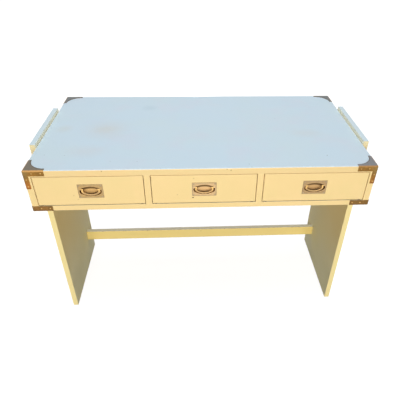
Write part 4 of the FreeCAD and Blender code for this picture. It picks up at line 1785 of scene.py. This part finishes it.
@dataclass
class Studio:
    """The floor, the surroundings and the lamps."""

    floor_reach: float = 30.0
    near_glow: float = 0.86
    near_reach: float = 1.0
    far_reach: float = 3.0
    floor_paint: Tone = Tone(152, 152, 152)
    floor_bounce: Tone = Tone(140, 140, 140)
    fill: float = 0.17
    lamps: tuple[Lamp, ...] = (
        Lamp("key", place=(0.0, -3.7, 1.35), aim=(0.0, 0.0, 0.5), size=2.6, power=109.5),
        Lamp("sky", place=(0.0, 0.2, 3.4), aim=(0.0, 0.0, 0.7), size=3.2, power=58.5),
        Lamp("left_end", place=(-3.6, 0.05, 0.4), aim=(0.0, 0.0, 0.4), size=0.3, power=28.0),
        Lamp("right_end", place=(3.6, 0.05, 0.4), aim=(0.0, 0.0, 0.4), size=0.3, power=28.0),
        Lamp("rear", place=(0.0, 7.0, 0.5), aim=(0.0, 0.0, 0.5), size=0.5, power=140.0),
    )

    def seen(self, graph: Graph) -> Socket:
        """Pick the rays that show the surroundings to the eye, straight, mirrored or through glass.

        Args:
            graph: The tree that needs them.

        Returns:
            1 for those rays and 0 for the others.
        """
        path = graph.node("ShaderNodeLightPath").outputs
        shiny = graph.math("MAXIMUM", path["Is Glossy Ray"], path["Is Transmission Ray"])
        return graph.math("MAXIMUM", path["Is Camera Ray"], shiny)

    def floor_material(self) -> bpy.types.Material:
        """Make a floor that looks white and keeps a pale shadow.

        Returns:
            The material.
        """
        material = bpy.data.materials.new("studio_floor")
        material.use_nodes = True
        tree = material.node_tree
        tree.nodes.remove(tree.nodes["Principled BSDF"])
        graph = Graph(tree)
        bounce = graph.node("ShaderNodeBsdfDiffuse", {"Color": self.floor_bounce.linear}).outputs[0]
        shown = graph.node("ShaderNodeBsdfDiffuse", {"Color": self.floor_paint.linear}).outputs[0]
        away = graph.measure("LENGTH", graph.place())
        strength = graph.ramp(away, self.near_reach, self.far_reach, self.near_glow, 1.0)
        glow = graph.node("ShaderNodeEmission", {"Strength": strength}).outputs[0]
        white = graph.node("ShaderNodeAddShader", {0: shown, 1: glow}).outputs[0]
        choice = graph.node("ShaderNodeMixShader", {0: self.seen(graph), 1: bounce, 2: white}).outputs[0]
        graph.feed(tree.nodes["Material Output"].inputs["Surface"], choice)
        return material

    def build_floor(self) -> None:
        """Make the floor."""
        reach = self.floor_reach
        mesh = bpy.data.meshes.new("studio_floor")
        corners = [(-reach, -reach, 0), (reach, -reach, 0), (reach, reach, 0), (-reach, reach, 0)]
        mesh.from_pydata(corners, [], [(0, 1, 2, 3)])
        mesh.materials.append(self.floor_material())
        floor = bpy.data.objects.new("studio_floor", mesh)
        bpy.context.scene.collection.objects.link(floor)

    def build_world(self) -> None:
        """Make surroundings that look white and light the desk softly."""
        world = bpy.data.worlds.new("studio")
        world.use_nodes = True
        graph = Graph(world.node_tree)
        shade = world.node_tree.nodes["Background"].inputs
        shade["Color"].default_value = WHITE.linear
        graph.feed(shade["Strength"], graph.ramp(self.seen(graph), 0.0, 1.0, self.fill, 1.0))
        bpy.context.scene.world = world

    def build(self) -> None:
        """Make the whole studio."""
        bpy.context.scene.view_settings.view_transform = "Standard"
        self.build_world()
        self.build_floor()
        for lamp in self.lamps:
            lamp.build()


def main() -> None:
    """Build and dress the desk, sub-assembly by sub-assembly."""
    logging.basicConfig(level=logging.INFO, format="%(message)s")
    trees = {head: FastenerTree(head) for head in Head}
    Studio().build()
    PhotoCamera().build()
    Case().dress()
    Stand().dress()
    CornerBrass().dress()
    hardware = Hardware()
    hardware.build(trees)
    hardware.dress()
    for bay in Bay:
        Drawer(bay).dress()
        pull = Pull(bay)
        pull.build(trees)
        pull.dress()


if __name__ == "__main__":
    main()
